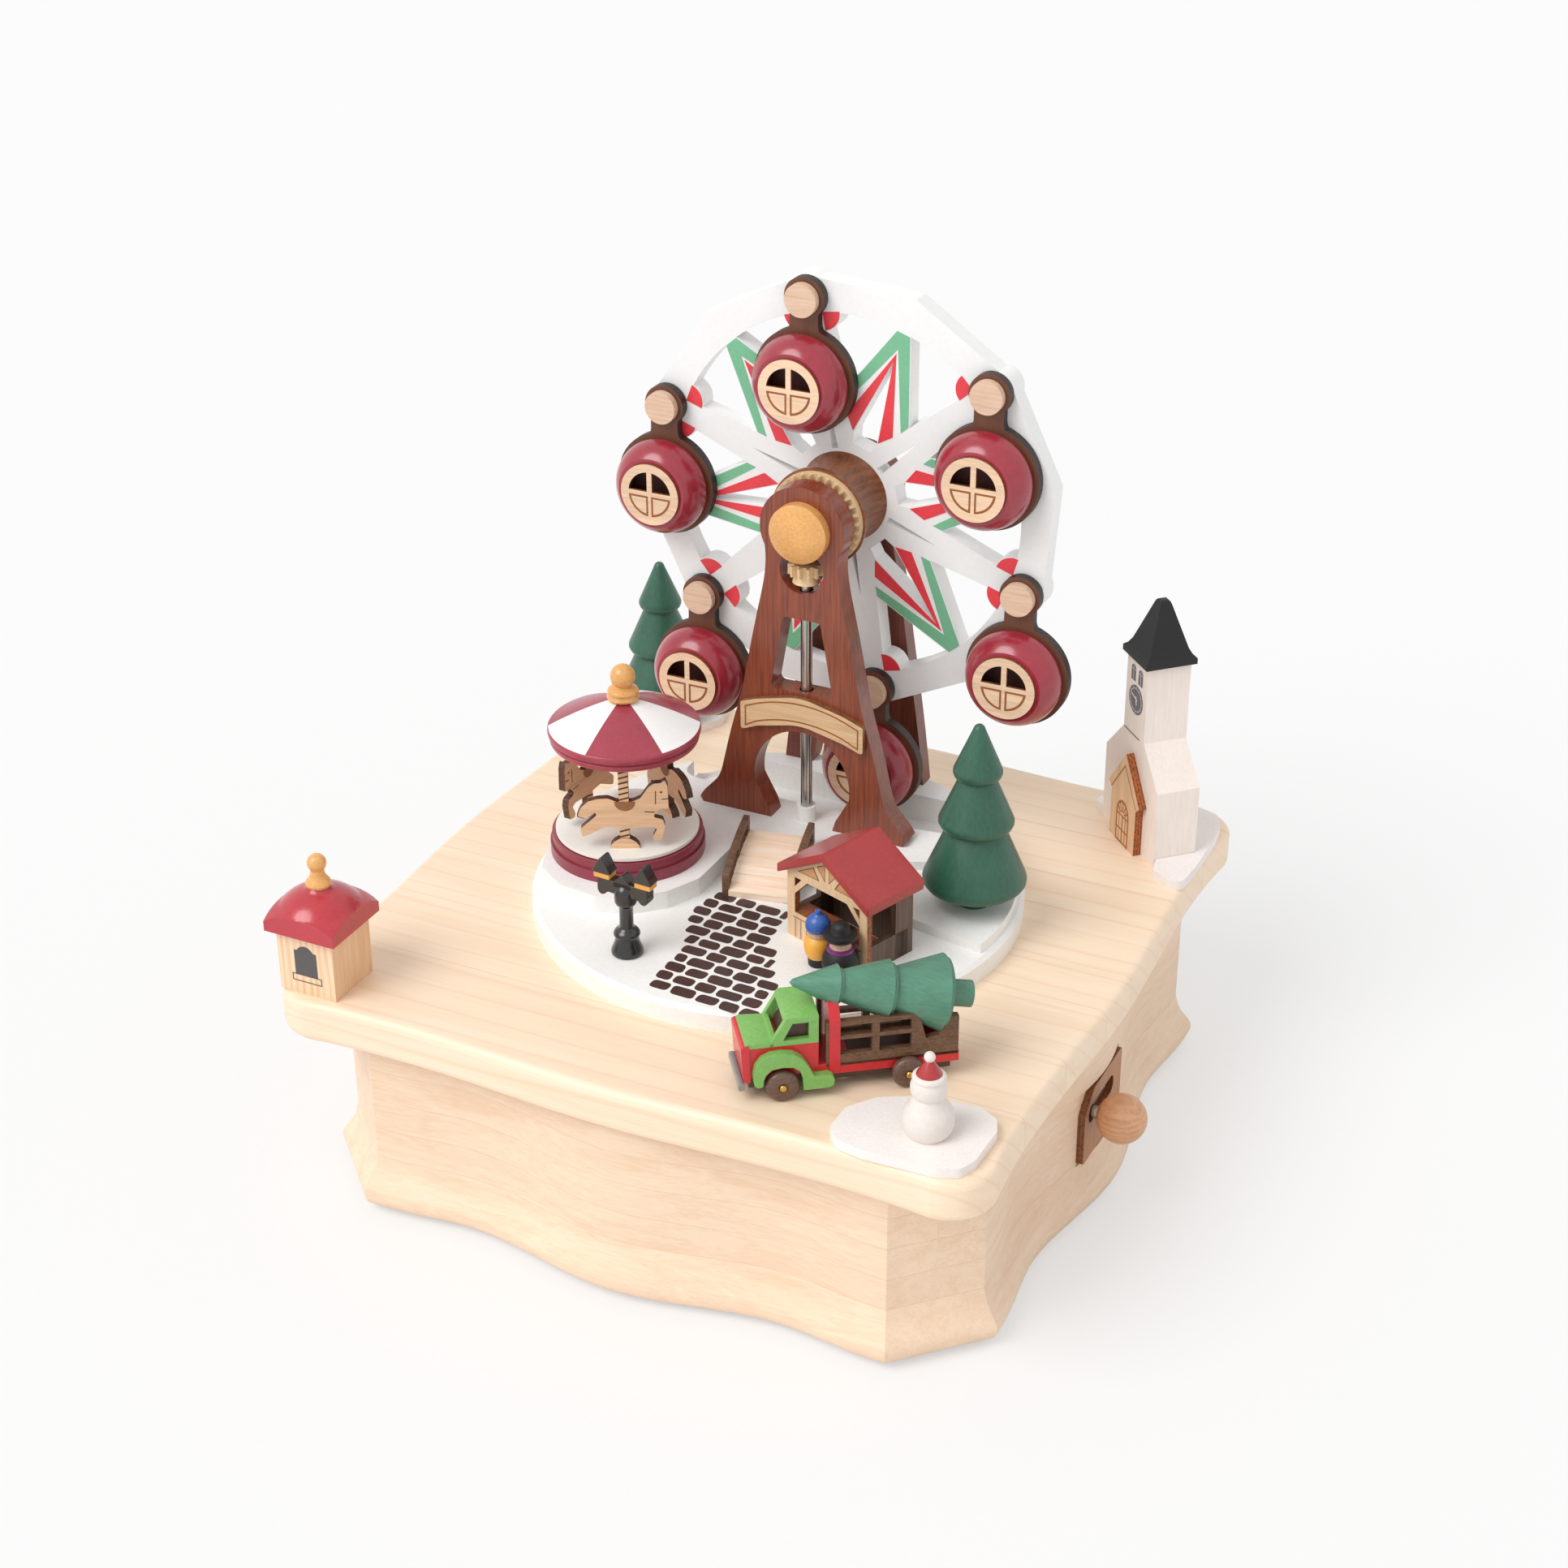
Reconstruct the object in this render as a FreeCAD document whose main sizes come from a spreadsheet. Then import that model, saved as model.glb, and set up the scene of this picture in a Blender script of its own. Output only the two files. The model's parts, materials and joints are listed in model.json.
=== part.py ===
import FreeCAD, Part
import math
import os
import Sketcher

# Wooden music box with a ferris wheel. Millimetres, +X to the right along the front, +Y to the
# back, +Z up. The origin is the middle of the footprint, at the underside of the foot pads.

doc = FreeCAD.newDocument("ferris_wheel_box")
sheet = doc.addObject("Spreadsheet::Sheet", "sizes")

SIZES = [
    # base
    ("pad_height", 1.2), ("pad_radius", 6.0), ("pad_back", 18.0), ("pad_sink", 0.8),
    ("body_height", 56.0), ("plate_over", 8.3), ("body_corner", 20.0), ("wall_thick", 8.0),
    ("wave_out", 4.8), ("wave_in", 2.5), ("cove_height", 16.0), ("cove_reach", 5.0),
    ("plate_thick", 12.7), ("plate_half", 108.3), ("plate_wave", 1.3),
    ("plate_corner", 13.0), ("plate_round", 3.0),
    ("bottom_lift", 20.0), ("bottom_thick", 4.0), ("bottom_play", 0.4),
    ("screw_radius", 1.6), ("screw_head", 3.0), ("screw_inset", 4.0),
    # start and stop lever
    ("lever_level", 32.4), ("lever_offset", -11.0), ("lever_pivot", 60.0), ("lever_radius", 2.0),
    ("lever_slot", 20.0), ("knob_radius", 7.3), ("knob_out", 11.0),
    ("strap_thick", 2.2), ("strap_out", 2.6),
    # island and bridge
    ("island_radius", 72.7), ("island_thick", 6.5), ("terrace_thick", 5.8), ("step_thick", 3.0),
    ("pocket_floor", 3.8), ("bush_height", 5.0), ("bush_radius", 2.9),
    ("deck_width", 18.0), ("deck_thick", 1.6), ("rail_height", 6.5), ("rail_thick", 1.8),
    # axis of the wheel and frames
    ("wheel_x", -4.0), ("wheel_height", 108.25), ("front_y", 24.2), ("front_thick", 7.0),
    ("rear_y", 62.3), ("rear_thick", 5.6), ("head_radius", 13.3), ("axle_radius", 2.0),
    ("running", 0.05), ("crossbar_low", 43.3), ("crossbar_high", 56.3), ("notch_drop", 12.8),
    ("notch_radius", 7.0), ("cap_radius", 9.0), ("cap_thick", 3.0), ("cap_dome", 2.0),
    ("plaque_thick", 2.0),
    # wheel
    ("wheel_y", 53.0), ("wheel_thick", 6.5), ("rim_over", 6.0), ("rim_under", 5.0),
    ("wheel_hub", 17.0), ("ride_low", 47.25), ("peg_start", 10.8), ("peg_radius", 2.2),
    ("peg_head", 5.0), ("peg_head_thick", 2.4), ("spoke_root", 6.0), ("spoke_tip", 3.5),
    ("slit_width", 2.2), ("slit_reach", 31.5), ("boss_radius", 4.5), ("gusset_radius", 5.6),
    ("spool_y", 36.2), ("spool_front", 12.0), ("spool_waist", 11.3), ("spool_back", 14.0),
    ("washer_radius", 15.0), ("washer_thick", 1.2),
    # gondolas
    ("hanger_thick", 3.0), ("hanger_gap", 0.3), ("hanger_head", 6.3), ("hanger_plate", 16.0),
    ("hanger_drop", 24.8), ("hanger_neck", 9.0), ("barrel_radius", 15.0), ("barrel_end", 12.2),
    ("barrel_long", 9.4), ("window_radius", 9.7), ("window_thick", 1.0), ("pane_radius", 6.7),
    ("pane_bar", 1.6), ("pane_deep", 3.0),
    # drive train
    ("rod_y", 27.7), ("rod_radius", 1.75), ("fine_pitch", 0.8), ("pinion_teeth", 12),
    ("crown_teeth", 32), ("pinion_high", 3.2), ("collar_radius", 4.0), ("collar_high", 2.6),
    ("gear_pitch", 1.0), ("center_teeth", 32), ("rod_teeth", 24), ("carousel_teeth", 60),
    ("barrel_teeth", 40), ("gear_level", 49.0), ("gear_thick", 3.0), ("shaft_radius", 2.5),
    ("arm_reach", 86.0), ("arm_thick", 1.4), ("arm_gap", 0.4), ("magnet_radius", 4.8),
    ("magnet_thick", 2.0), ("groove_play", 0.8), ("groove_roof", 3.9), ("magnet_gap", 0.6),
    ("train_cover", 1.4), ("train_gap", 0.2), ("train_height", 5.0), ("train_room", 0.8),
    ("cover_lip", 1.6), ("train_shaft", 8.0),
    ("carousel_angle", 192.4), ("barrel_angle", -60.0),
    ("can_radius", 16.5), ("can_low", 30.0), ("can_high", 10.0), ("bedplate_thick", 1.6),
    ("cylinder_radius", 5.6), ("cylinder_long", 30.0), ("tune_teeth", 8),
    # carousel
    ("carousel_radius", 23.0), ("carousel_step", 6.4), ("disc_radius", 21.3), ("disc_thick", 1.0),
    ("roof_radius", 22.5), ("roof_level", 48.4), ("roof_rim", 4.9), ("roof_rise", 8.1),
    ("horse_circle", 14.0), ("horse_thick", 2.2), ("pole_radius", 1.5), ("finial_radius", 4.8),
    # scenery
    ("lamp_x", -21.0), ("lamp_y", -54.5), ("lamp_turn", -3.5), ("stall_x", 33.4), ("stall_y", -29.7),
    ("stall_turn", -20.0), ("stall_width", 31.5), ("stall_depth", 18.5), ("stall_eave", 21.5),
    ("stall_ridge", 30.5), ("stall_wall", 2.0), ("roof_thick", 2.4), ("roof_over", 2.2),
    ("booth_x", -96.0), ("booth_y", -94.5), ("booth_side", 18.4), ("booth_height", 19.3),
    ("booth_roof", 23.0), ("booth_rise", 11.8), ("snow_thick", 3.0),
    ("snowman_x", 87.8), ("snowman_y", -92.9), ("snowman_body", 6.95), ("snowman_seat", 4.3),
    ("snowman_head", 4.9), ("snowman_neck", 9.8),
    ("church_x", 86.57), ("church_y", 82.61), ("church_turn", -45.5), ("church_long", 36.0),
    ("church_wide", 14.0), ("eave_height", 25.2), ("shoulder_height", 36.8), ("tower_wall", 61.8),
    ("tower_brow", 8.3), ("brow_thick", 1.8), ("tower_tip", 80.6), ("tower_side", 14.0),
    ("door_thick", 2.6), ("door_wide", 17.0), ("door_eave", 15.4), ("door_apex", 31.0),
    # truck
    ("truck_circle", 93.0), ("truck_angle", -54.1), ("truck_heading", -143.7),
    ("wheel_base", 34.0), ("half_track", 8.75), ("tyre_radius", 4.5), ("tyre_wide", 2.6),
    ("truck_lift", 0.15), ("truck_half", 7.2), ("bed_low", 5.4), ("bed_top", 8.7),
    ("panel_thick", 2.0), ("fender_reach", 2.4), ("load_tilt", 10.9),
]

for row, (alias, number) in enumerate(SIZES, start=1):
    sheet.set("A%d" % row, alias)
    sheet.set("B%d" % row, str(number))
    sheet.setAlias("B%d" % row, alias)
doc.recompute()


class Size:
    """A length with the sheet expression that gives it."""

    def __init__(self, value, text=None):
        self.value = float(value)
        self.text = text or repr(float(value))

    def __float__(self):
        return self.value

    def __add__(self, other):
        other = size(other)
        return Size(self.value + other.value, "(%s + %s)" % (self.text, other.text))

    def __sub__(self, other):
        other = size(other)
        return Size(self.value - other.value, "(%s - %s)" % (self.text, other.text))

    def __mul__(self, other):
        other = size(other)
        return Size(self.value * other.value, "(%s * %s)" % (self.text, other.text))

    def __truediv__(self, other):
        other = size(other)
        return Size(self.value / other.value, "(%s / %s)" % (self.text, other.text))

    def __neg__(self):
        return Size(-self.value, "(0 - %s)" % self.text)

    def __radd__(self, other):
        return size(other) + self

    def __rsub__(self, other):
        return size(other) - self

    def __rmul__(self, other):
        return size(other) * self


def size(value):
    return value if isinstance(value, Size) else Size(value)


class Named:
    """The sheet's values by name."""

    def __getattr__(self, alias):
        return Size(sheet.get(alias), "sizes." + alias)


S = Named()

# Sizes that follow from others

S.body_half = S.plate_half - S.plate_over
S.cavity_half = S.body_half - S.wall_thick
S.pad_inset = S.body_half - S.pad_back
S.strap_seat = S.body_half + S.strap_out
S.knob_reach = S.strap_seat + S.knob_out
S.peg_circle = S.wheel_height - S.ride_low
S.rim_outer = S.peg_circle + S.rim_over
S.rim_inner = S.peg_circle - S.rim_under


def vec(x, y, z):
    return FreeCAD.Vector(float(x), float(y), float(z))


def cosine(degrees):
    return math.cos(math.radians(float(degrees)))


def sine(degrees):
    return math.sin(math.radians(float(degrees)))


def bind(item, name, value):
    if isinstance(value, Size):
        item.setExpression(name, value.text)
    else:
        setattr(item, name, value)


ABOUT_Z = FreeCAD.Vector(0, 0, 1)
ALONG_X = FreeCAD.Rotation(FreeCAD.Vector(0, 1, 0), 90)
ALONG_Y = FreeCAD.Rotation(FreeCAD.Vector(1, 0, 0), -90)


def turned(degrees):
    return FreeCAD.Rotation(ABOUT_Z, float(degrees))


def place(item, at=(0, 0, 0), turn=None):
    item.Placement = FreeCAD.Placement(vec(*at), turn or FreeCAD.Rotation())
    for axis, value in zip("xyz", at):
        if isinstance(value, Size):
            item.setExpression("Placement.Base." + axis, value.text)
    return item


def solid(kind, at=(0, 0, 0), turn=None, **dims):
    item = doc.addObject("Part::" + kind, kind.lower())
    place(item, at, turn)
    for name, value in dims.items():
        bind(item, name, value)
    return item


def cylinder(radius, height, at=(0, 0, 0), turn=None):
    return solid("Cylinder", at, turn, Radius=radius, Height=height)


def cone(low, high, height, at=(0, 0, 0), turn=None):
    return solid("Cone", at, turn, Radius1=low, Radius2=high, Height=height)


def ball(radius, at=(0, 0, 0)):
    return solid("Sphere", at, None, Radius=radius)


def block(length, width, height, at=(0, 0, 0), turn=None):
    return solid("Box", at, turn, Length=length, Width=width, Height=height)


def shaped(shape, at=(0, 0, 0), turn=None, label="form"):
    item = doc.addObject("Part::Feature", label)
    item.Shape = shape if shape.Placement.isIdentity() else Part.makeCompound([shape])
    return place(item, at, turn)


def joined(label, *pieces):
    item = doc.addObject("Part::MultiFuse", label)
    item.Shapes = list(pieces)
    item.Refine = True
    return item


def carved(label, stock, *tools):
    item = doc.addObject("Part::Cut", label)
    item.Base = stock
    item.Tool = tools[0] if len(tools) == 1 else joined(label + "_tools", *tools)
    item.Refine = True
    return item


def group(label, *pieces):
    item = doc.addObject("Part::Compound", label)
    item.Links = list(pieces)
    return item


NODES = []


def node(label, item):
    """The finished sub-part, under its own label."""
    item.Label = label
    NODES.append(item)
    return item


def origin_plane(body, role):
    for feature in body.Origin.OriginFeatures:
        if feature.Role == role:
            return feature
    raise ValueError(role)


def draw(sketch, points):
    """A closed outline whose corners are held at their sizes from the sketch's origin."""
    first = sketch.GeometryCount
    count = len(points)
    for i, point in enumerate(points):
        after = points[(i + 1) % count]
        sketch.addGeometry(Part.LineSegment(vec(point[0], point[1], 0), vec(after[0], after[1], 0)))
    for i, point in enumerate(points):
        here = first + i
        sketch.addConstraint(Sketcher.Constraint("Coincident", first + (i - 1) % count, 2, here, 1))
        for kind, value in zip(("DistanceX", "DistanceY"), point):
            number = sketch.addConstraint(
                Sketcher.Constraint(kind, -1, 1, here, 1, float(value)))
            if isinstance(value, Size):
                sketch.setExpression("Constraints[%d]" % number, value.text)


def board(label, outline, thick, plane="XY_Plane", at=(0, 0, 0), turn=None, holes=(), back=False):
    """A flat piece: a sketched outline with its holes, padded to its thickness."""
    body = doc.addObject("PartDesign::Body", label)
    sketch = body.newObject("Sketcher::SketchObject", label + "_outline")
    sketch.AttachmentSupport = [(origin_plane(body, plane), "")]
    sketch.MapMode = "FlatFace"
    draw(sketch, outline)
    for hole in holes:
        draw(sketch, hole)
    pad = body.newObject("PartDesign::Pad", label + "_pad")
    pad.Profile = sketch
    pad.Reversed = back
    bind(pad, "Length", thick)
    sketch.Visibility = False
    return place(body, at, turn)


def rounded(points, radius=0.0, plane="xy", level=0.0):
    """A closed wire through the points with its corners rounded. A point may carry its own radius."""
    flat = [FreeCAD.Vector(float(p[0]), float(p[1]), 0) for p in points]
    radii = [float(p[2]) if len(p) > 2 else float(radius) for p in points]

    def lift(p):
        if plane == "xy":
            return FreeCAD.Vector(p.x, p.y, float(level))
        if plane == "xz":
            return FreeCAD.Vector(p.x, float(level), p.y)
        return FreeCAD.Vector(float(level), p.x, p.y)

    corners = []
    for i, here in enumerate(flat):
        to_last = flat[i - 1] - here
        to_next = flat[(i + 1) % len(flat)] - here
        room = 0.45 * min(to_last.Length, to_next.Length)
        to_last.normalize()
        to_next.normalize()
        half = math.acos(max(-1.0, min(1.0, to_last.dot(to_next)))) / 2
        if radii[i] <= 0 or half > 1.55:
            corners.append((here, None, here))
            continue
        reach = min(radii[i] / math.tan(half), room)
        arc = reach * math.tan(half)
        middle = to_last + to_next
        middle.normalize()
        top = here + middle * (arc / math.sin(half) - arc)
        corners.append((here + to_last * reach, top, here + to_next * reach))
    edges = []
    for i, (start, top, end) in enumerate(corners):
        if top is not None:
            edges.append(Part.Arc(lift(start), lift(top), lift(end)).toShape())
        after = corners[(i + 1) % len(corners)][0]
        if (after - end).Length > 1e-6:
            edges.append(Part.LineSegment(lift(end), lift(after)).toShape())
    return Part.Wire(edges)


def slab(points, thick, radius=0.0, plane="xy", level=0.0, holes=()):
    """A prism from a rounded outline. Holes are outlines in the same plane."""
    way = {"xy": vec(0, 0, thick), "xz": vec(0, thick, 0), "yz": vec(thick, 0, 0)}[plane]
    piece = Part.Face(rounded(points, radius, plane, level)).extrude(way)
    for hole in holes:
        piece = piece.cut(Part.Face(rounded(hole, radius, plane, level)).extrude(way))
    return piece


def revolved(points, arcs=()):
    """A piece turned about Z from (radius, height) points. arcs gives bulges by edge number."""
    bulge = dict(arcs)
    edges = []
    for i, point in enumerate(points):
        after = points[(i + 1) % len(points)]
        start = vec(point[0], 0, point[1])
        end = vec(after[0], 0, after[1])
        if i in bulge:
            along = end - start
            side = FreeCAD.Vector(along.z, 0, -along.x)
            side.normalize()
            top = (start + end) * 0.5 + side * float(bulge[i])
            edges.append(Part.Arc(start, top, end).toShape())
        else:
            edges.append(Part.LineSegment(start, end).toShape())
    face = Part.Face(Part.Wire(edges))
    return face.revolve(vec(0, 0, 0), vec(0, 0, 1), 360)


def spline(points, plane="xz", level=0.0):
    if plane == "xz":
        path = [vec(p[0], level, p[1]) for p in points]
    else:
        path = [vec(p[0], p[1], level) for p in points]
    curve = Part.BSplineCurve()
    curve.interpolate(path)
    return curve.toShape()


# Levels that many pieces share

body_top = S.pad_height + S.body_height
top = body_top + S.plate_thick
island_top = top + S.island_thick
terrace_top = island_top + S.terrace_thick
step_top = island_top + S.step_thick
wheel_z = top + S.wheel_height

# Base: coved foot under a serpentine wall, open above and below


def side_wave(scale=1.0):
    out = float(S.wave_out) * scale
    dip = float(S.wave_in) * scale
    return [(-0.65, -0.4 * dip), (-0.5, -dip), (-0.25, 0.23 * out), (0.0, out),
            (0.25, 0.23 * out), (0.5, -dip), (0.65, -0.4 * dip)]


def serpentine(grow, level):
    half = float(S.body_half) + grow
    corner = float(S.body_half) - float(S.body_corner) + grow * 0.414
    edges = []
    for quarter in range(4):
        points = [(-corner, -half)]
        points += [(x * float(S.body_half), -half - y) for x, y in side_wave()]
        points += [(corner, -half)]
        edge = spline(points, "xy", level)
        bevel = Part.LineSegment(vec(corner, -half, level), vec(half, -corner, level)).toShape()
        for piece in (edge, bevel):
            piece.rotate(vec(0, 0, 0), ABOUT_Z, 90 * quarter)
            edges.append(piece)
    return Part.Wire(edges)


foot = float(S.pad_height)
cove = float(S.cove_height)
reach = float(S.cove_reach)
sections = [(0.12, 0.0), (0.72, 0.08), (1.0, 0.3), (0.58, 0.56), (0.14, 0.82), (0.0, 1.0)]
flare = Part.makeLoft([serpentine(reach * g, foot + cove * f) for g, f in sections], True, False)
wall = Part.Face(serpentine(0.0, foot + cove)).extrude(vec(0, 0, S.body_height - S.cove_height))
shell = wall.fuse(flare)
inner = float(S.cavity_half)
cut = float(S.body_corner) * 0.7
cavity_outline = [(inner, inner - cut), (inner - cut, inner), (cut - inner, inner),
                  (-inner, inner - cut), (-inner, cut - inner), (cut - inner, -inner),
                  (inner - cut, -inner), (inner, cut - inner)]
shell = shell.cut(slab(cavity_outline, S.body_height + 2, 0, "xy", S.pad_height - 1))
ledge_side = inner - 8.0
ledge_cut = cut
ledge_outline = [(ledge_side, ledge_side - ledge_cut), (ledge_side - ledge_cut, ledge_side),
                 (ledge_cut - ledge_side, ledge_side), (-ledge_side, ledge_side - ledge_cut),
                 (-ledge_side, ledge_cut - ledge_side), (ledge_cut - ledge_side, -ledge_side),
                 (ledge_side - ledge_cut, -ledge_side), (ledge_side, ledge_cut - ledge_side)]
ledge_top = S.pad_height + S.bottom_lift
ledge = slab(cavity_outline, S.bottom_lift, 0, "xy", S.pad_height)
ledge = ledge.cut(slab(ledge_outline, S.bottom_lift + 2, 0, "xy", S.pad_height - 1))
shell = shell.fuse(ledge)
slot_low = float(S.lever_offset) - 4.0
slot_long = float(S.lever_slot)
slot = Part.makeBox(30, slot_long, 8, vec(inner - 5, slot_low, float(S.lever_level) - 4))
shell = shell.cut(slot)
strap_recess = Part.makeBox(12, 31, 24.2, vec(S.strap_seat, -17.6, 16.4))
shell = shell.cut(strap_recess)
pads = []
for sx in (-1, 1):
    for sy in (-1, 1):
        spot = (sx * S.pad_inset, sy * S.pad_inset, 0)
        pads.append(cylinder(S.pad_radius, S.pad_height + S.pad_sink, spot))
        seat = Part.makeCylinder(float(S.pad_radius), float(S.pad_sink),
                                 vec(spot[0], spot[1], S.pad_height))
        shell = shell.cut(seat)
shell = shell.cut(Part.makeBox(400, 400, 20, vec(-200, -200, S.pad_height - 20)))
node("base_body", shaped(shell.removeSplitter()))
node("foot_pads", group("foot_pads", *pads))

# Top plate


def plate_outline(grow, level):
    half = float(S.plate_half) + grow
    flat_end = half - float(S.plate_corner)
    wave = float(S.plate_wave)
    edges = []
    for quarter in range(4):
        points = [(-flat_end, -half), (-0.45 * half, -half + wave), (0, -half - wave * 0.7),
                  (0.45 * half, -half + wave), (flat_end, -half)]
        edge = spline(points, "xy", level)
        bend = half - flat_end
        middle = flat_end + bend * math.sqrt(0.5)
        arc = Part.Arc(vec(flat_end, -half, level), vec(middle, -middle, level),
                       vec(half, -flat_end, level)).toShape()
        for piece in (edge, arc):
            piece.rotate(vec(0, 0, 0), ABOUT_Z, 90 * quarter)
            edges.append(piece)
    return Part.Wire(edges)


soft = float(S.plate_round)
deck = float(body_top)
full = float(S.plate_thick)
rise = [(-0.75, 0.0), (-0.22, 0.25), (0.0, 0.8)]
low_edge = Part.makeLoft([plate_outline(g * soft, deck + f * soft) for g, f in rise], True, False)
high_edge = Part.makeLoft([plate_outline(g * soft, deck + full - f * soft)
                           for g, f in reversed(rise)], True, False)
middle = Part.Face(plate_outline(0, deck + 0.8 * soft)).extrude(vec(0, 0, full - 1.6 * soft))
plate = middle.fuse([low_edge, high_edge])
rod_distance = (S.center_teeth + S.rod_teeth) * S.gear_pitch / 2
carousel_distance = (S.center_teeth + S.carousel_teeth) * S.gear_pitch / 2
barrel_distance = (S.center_teeth + S.barrel_teeth) * S.gear_pitch / 2
rod_at = (S.wheel_x, S.rod_y)
carousel_at = (carousel_distance * cosine(S.carousel_angle),
               carousel_distance * sine(S.carousel_angle))
barrel_at = (barrel_distance * cosine(S.barrel_angle), barrel_distance * sine(S.barrel_angle))

train_spots = [((0, 0), S.center_teeth), (rod_at, S.rod_teeth), (carousel_at, S.carousel_teeth)]


def train_form(extra, low, high):
    """The three gears' room side by side, for the recess under the plate and its cover."""
    rounds = []
    for spot, teeth in train_spots:
        around = teeth * S.gear_pitch / 2 + S.gear_pitch * 0.9 + S.train_room + extra
        rounds.append(Part.makeCylinder(float(around), float(high - low),
                                        vec(spot[0], spot[1], low)))
    return rounds[0].fuse(rounds[1:])


def train_bores(piece, low, tall):
    for spot, bore in ((rod_at, S.rod_radius + S.running), ((0, 0), S.shaft_radius + S.running),
                       (carousel_at, S.shaft_radius + S.running)):
        piece = piece.cut(Part.makeCylinder(float(bore), float(tall), vec(spot[0], spot[1], low)))
    return piece


cover_top = body_top + S.train_cover
plate = plate.cut(train_form(S.cover_lip, body_top - 1, cover_top))
plate = plate.cut(train_form(0, body_top, body_top + S.train_height))
groove_out = S.arm_reach + S.magnet_radius + S.groove_play
groove_in = S.arm_reach - S.magnet_radius - S.groove_play
groove_top = top - S.groove_roof
groove = Part.makeCylinder(float(groove_out), float(groove_top - body_top + 1),
                           vec(0, 0, body_top - 1))
plate = plate.cut(groove.cut(Part.makeCylinder(float(groove_in), 40, vec(0, 0, body_top - 2))))
plate = train_bores(plate, body_top - 1, full + 2)
cover = train_bores(train_form(S.cover_lip, body_top, cover_top), body_top - 1, S.train_cover + 2)
node("top_plate", group("top_plate", shaped(plate.removeSplitter()),
                        shaped(cover.removeSplitter(), label="gear_cover")))

# Bottom board, its screws and the winding key

board_half = S.cavity_half - S.bottom_play
clip = S.body_corner * 0.7
outline = [(board_half, board_half - clip), (board_half - clip, board_half),
           (clip - board_half, board_half), (-board_half, board_half - clip),
           (-board_half, clip - board_half), (clip - board_half, -board_half),
           (board_half - clip, -board_half), (board_half, clip - board_half)]
bottom = board("bottom_blank", outline, S.bottom_thick, at=(0, 0, ledge_top))
holes = [cylinder(4.2, S.bottom_thick + 2, (barrel_at[0], barrel_at[1], ledge_top - 1))]
screws = []
screw_at = S.cavity_half - S.screw_inset
for sx, sy in ((-1, 0), (1, 0), (0, -1), (0, 1)):
    x, y = sx * screw_at, sy * screw_at
    holes.append(cylinder(S.screw_radius, S.bottom_thick + 2, (x, y, ledge_top - 1)))
    shank = cylinder(S.screw_radius, S.bottom_thick, (x, y, ledge_top))
    head = cylinder(S.screw_head, 1.6, (x, y, ledge_top + S.bottom_thick))
    screws.append(joined("screw", shank, head))
node("bottom_board", carved("bottom_board", bottom, *holes))
node("bottom_screws", group("bottom_screws", *screws))

key_stem = cylinder(2.0, S.can_low - 6.2, (barrel_at[0], barrel_at[1], 6.0))
bow = slab([(-13, 5, 3), (-4, 10, 2), (4, 10, 2), (13, 5, 3), (13, 14, 3), (4, 12.5, 1),
            (-4, 12.5, 1), (-13, 14, 3)], 1.6, 0, "xz", -0.8)
bow = shaped(bow, (barrel_at[0], barrel_at[1], 0))
node("winding_key", joined("winding_key", key_stem, bow))

# Start and stop lever: a strap with a slot on the wall, a steel stem on a pivot, a wooden ball

strap = [(-17, 17, 1), (13, 17, 1), (13, 40, 1), (-10, 40, 3), (-17, 34, 2)]
strap_slot = [(-14, 29, 2.9), (6.5, 29, 2.9), (6.5, 35, 2.9), (-14, 35, 2.9)]
node("lever_plate", shaped(slab(strap, S.strap_thick, 0, "yz", S.strap_seat, [strap_slot])))
pivot = (S.lever_pivot, S.lever_offset)
boss = cylinder(4.5, 5, (pivot[0], pivot[1], S.lever_level - 2.5))
stem = cylinder(S.lever_radius, S.knob_reach - S.knob_radius - S.lever_pivot + 2,
                (pivot[0], pivot[1], S.lever_level), ALONG_X)
tail = block(14, 3, 2, (pivot[0] - 14, pivot[1] - 1.5, S.lever_level - 1))
bore = cylinder(S.axle_radius + S.running, 8, (pivot[0], pivot[1], S.lever_level - 4))
node("brake_lever", carved("brake_lever", joined("lever_form", boss, stem, tail), bore))
knob_ball = ball(S.knob_radius, (S.knob_reach, pivot[1], S.lever_level))
knob_hole = cylinder(S.lever_radius, 4.4, (S.knob_reach - S.knob_radius - 2, pivot[1],
                                           S.lever_level), ALONG_X)
node("lever_knob", carved("lever_knob", knob_ball, knob_hole))

# Gears


def spur(teeth, pitch, thick, bore, phase=0.0, level=0.0):
    radius = teeth * pitch / 2
    step = 2 * math.pi / teeth
    points = []
    for i in range(teeth):
        middle = step * i + math.radians(phase)
        for share, r in ((-0.27, radius - 1.2 * pitch), (-0.11, radius + 0.9 * pitch),
                         (0.11, radius + 0.9 * pitch), (0.27, radius - 1.2 * pitch)):
            angle = middle + share * step
            points.append(vec(r * math.cos(angle), r * math.sin(angle), level))
    points.append(points[0])
    gear = Part.Face(Part.makePolygon(points)).extrude(vec(0, 0, thick))
    if bore:
        gear = gear.cut(Part.makeCylinder(float(bore), float(thick) + 2, vec(0, 0, level - 1)))
    return gear


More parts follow.
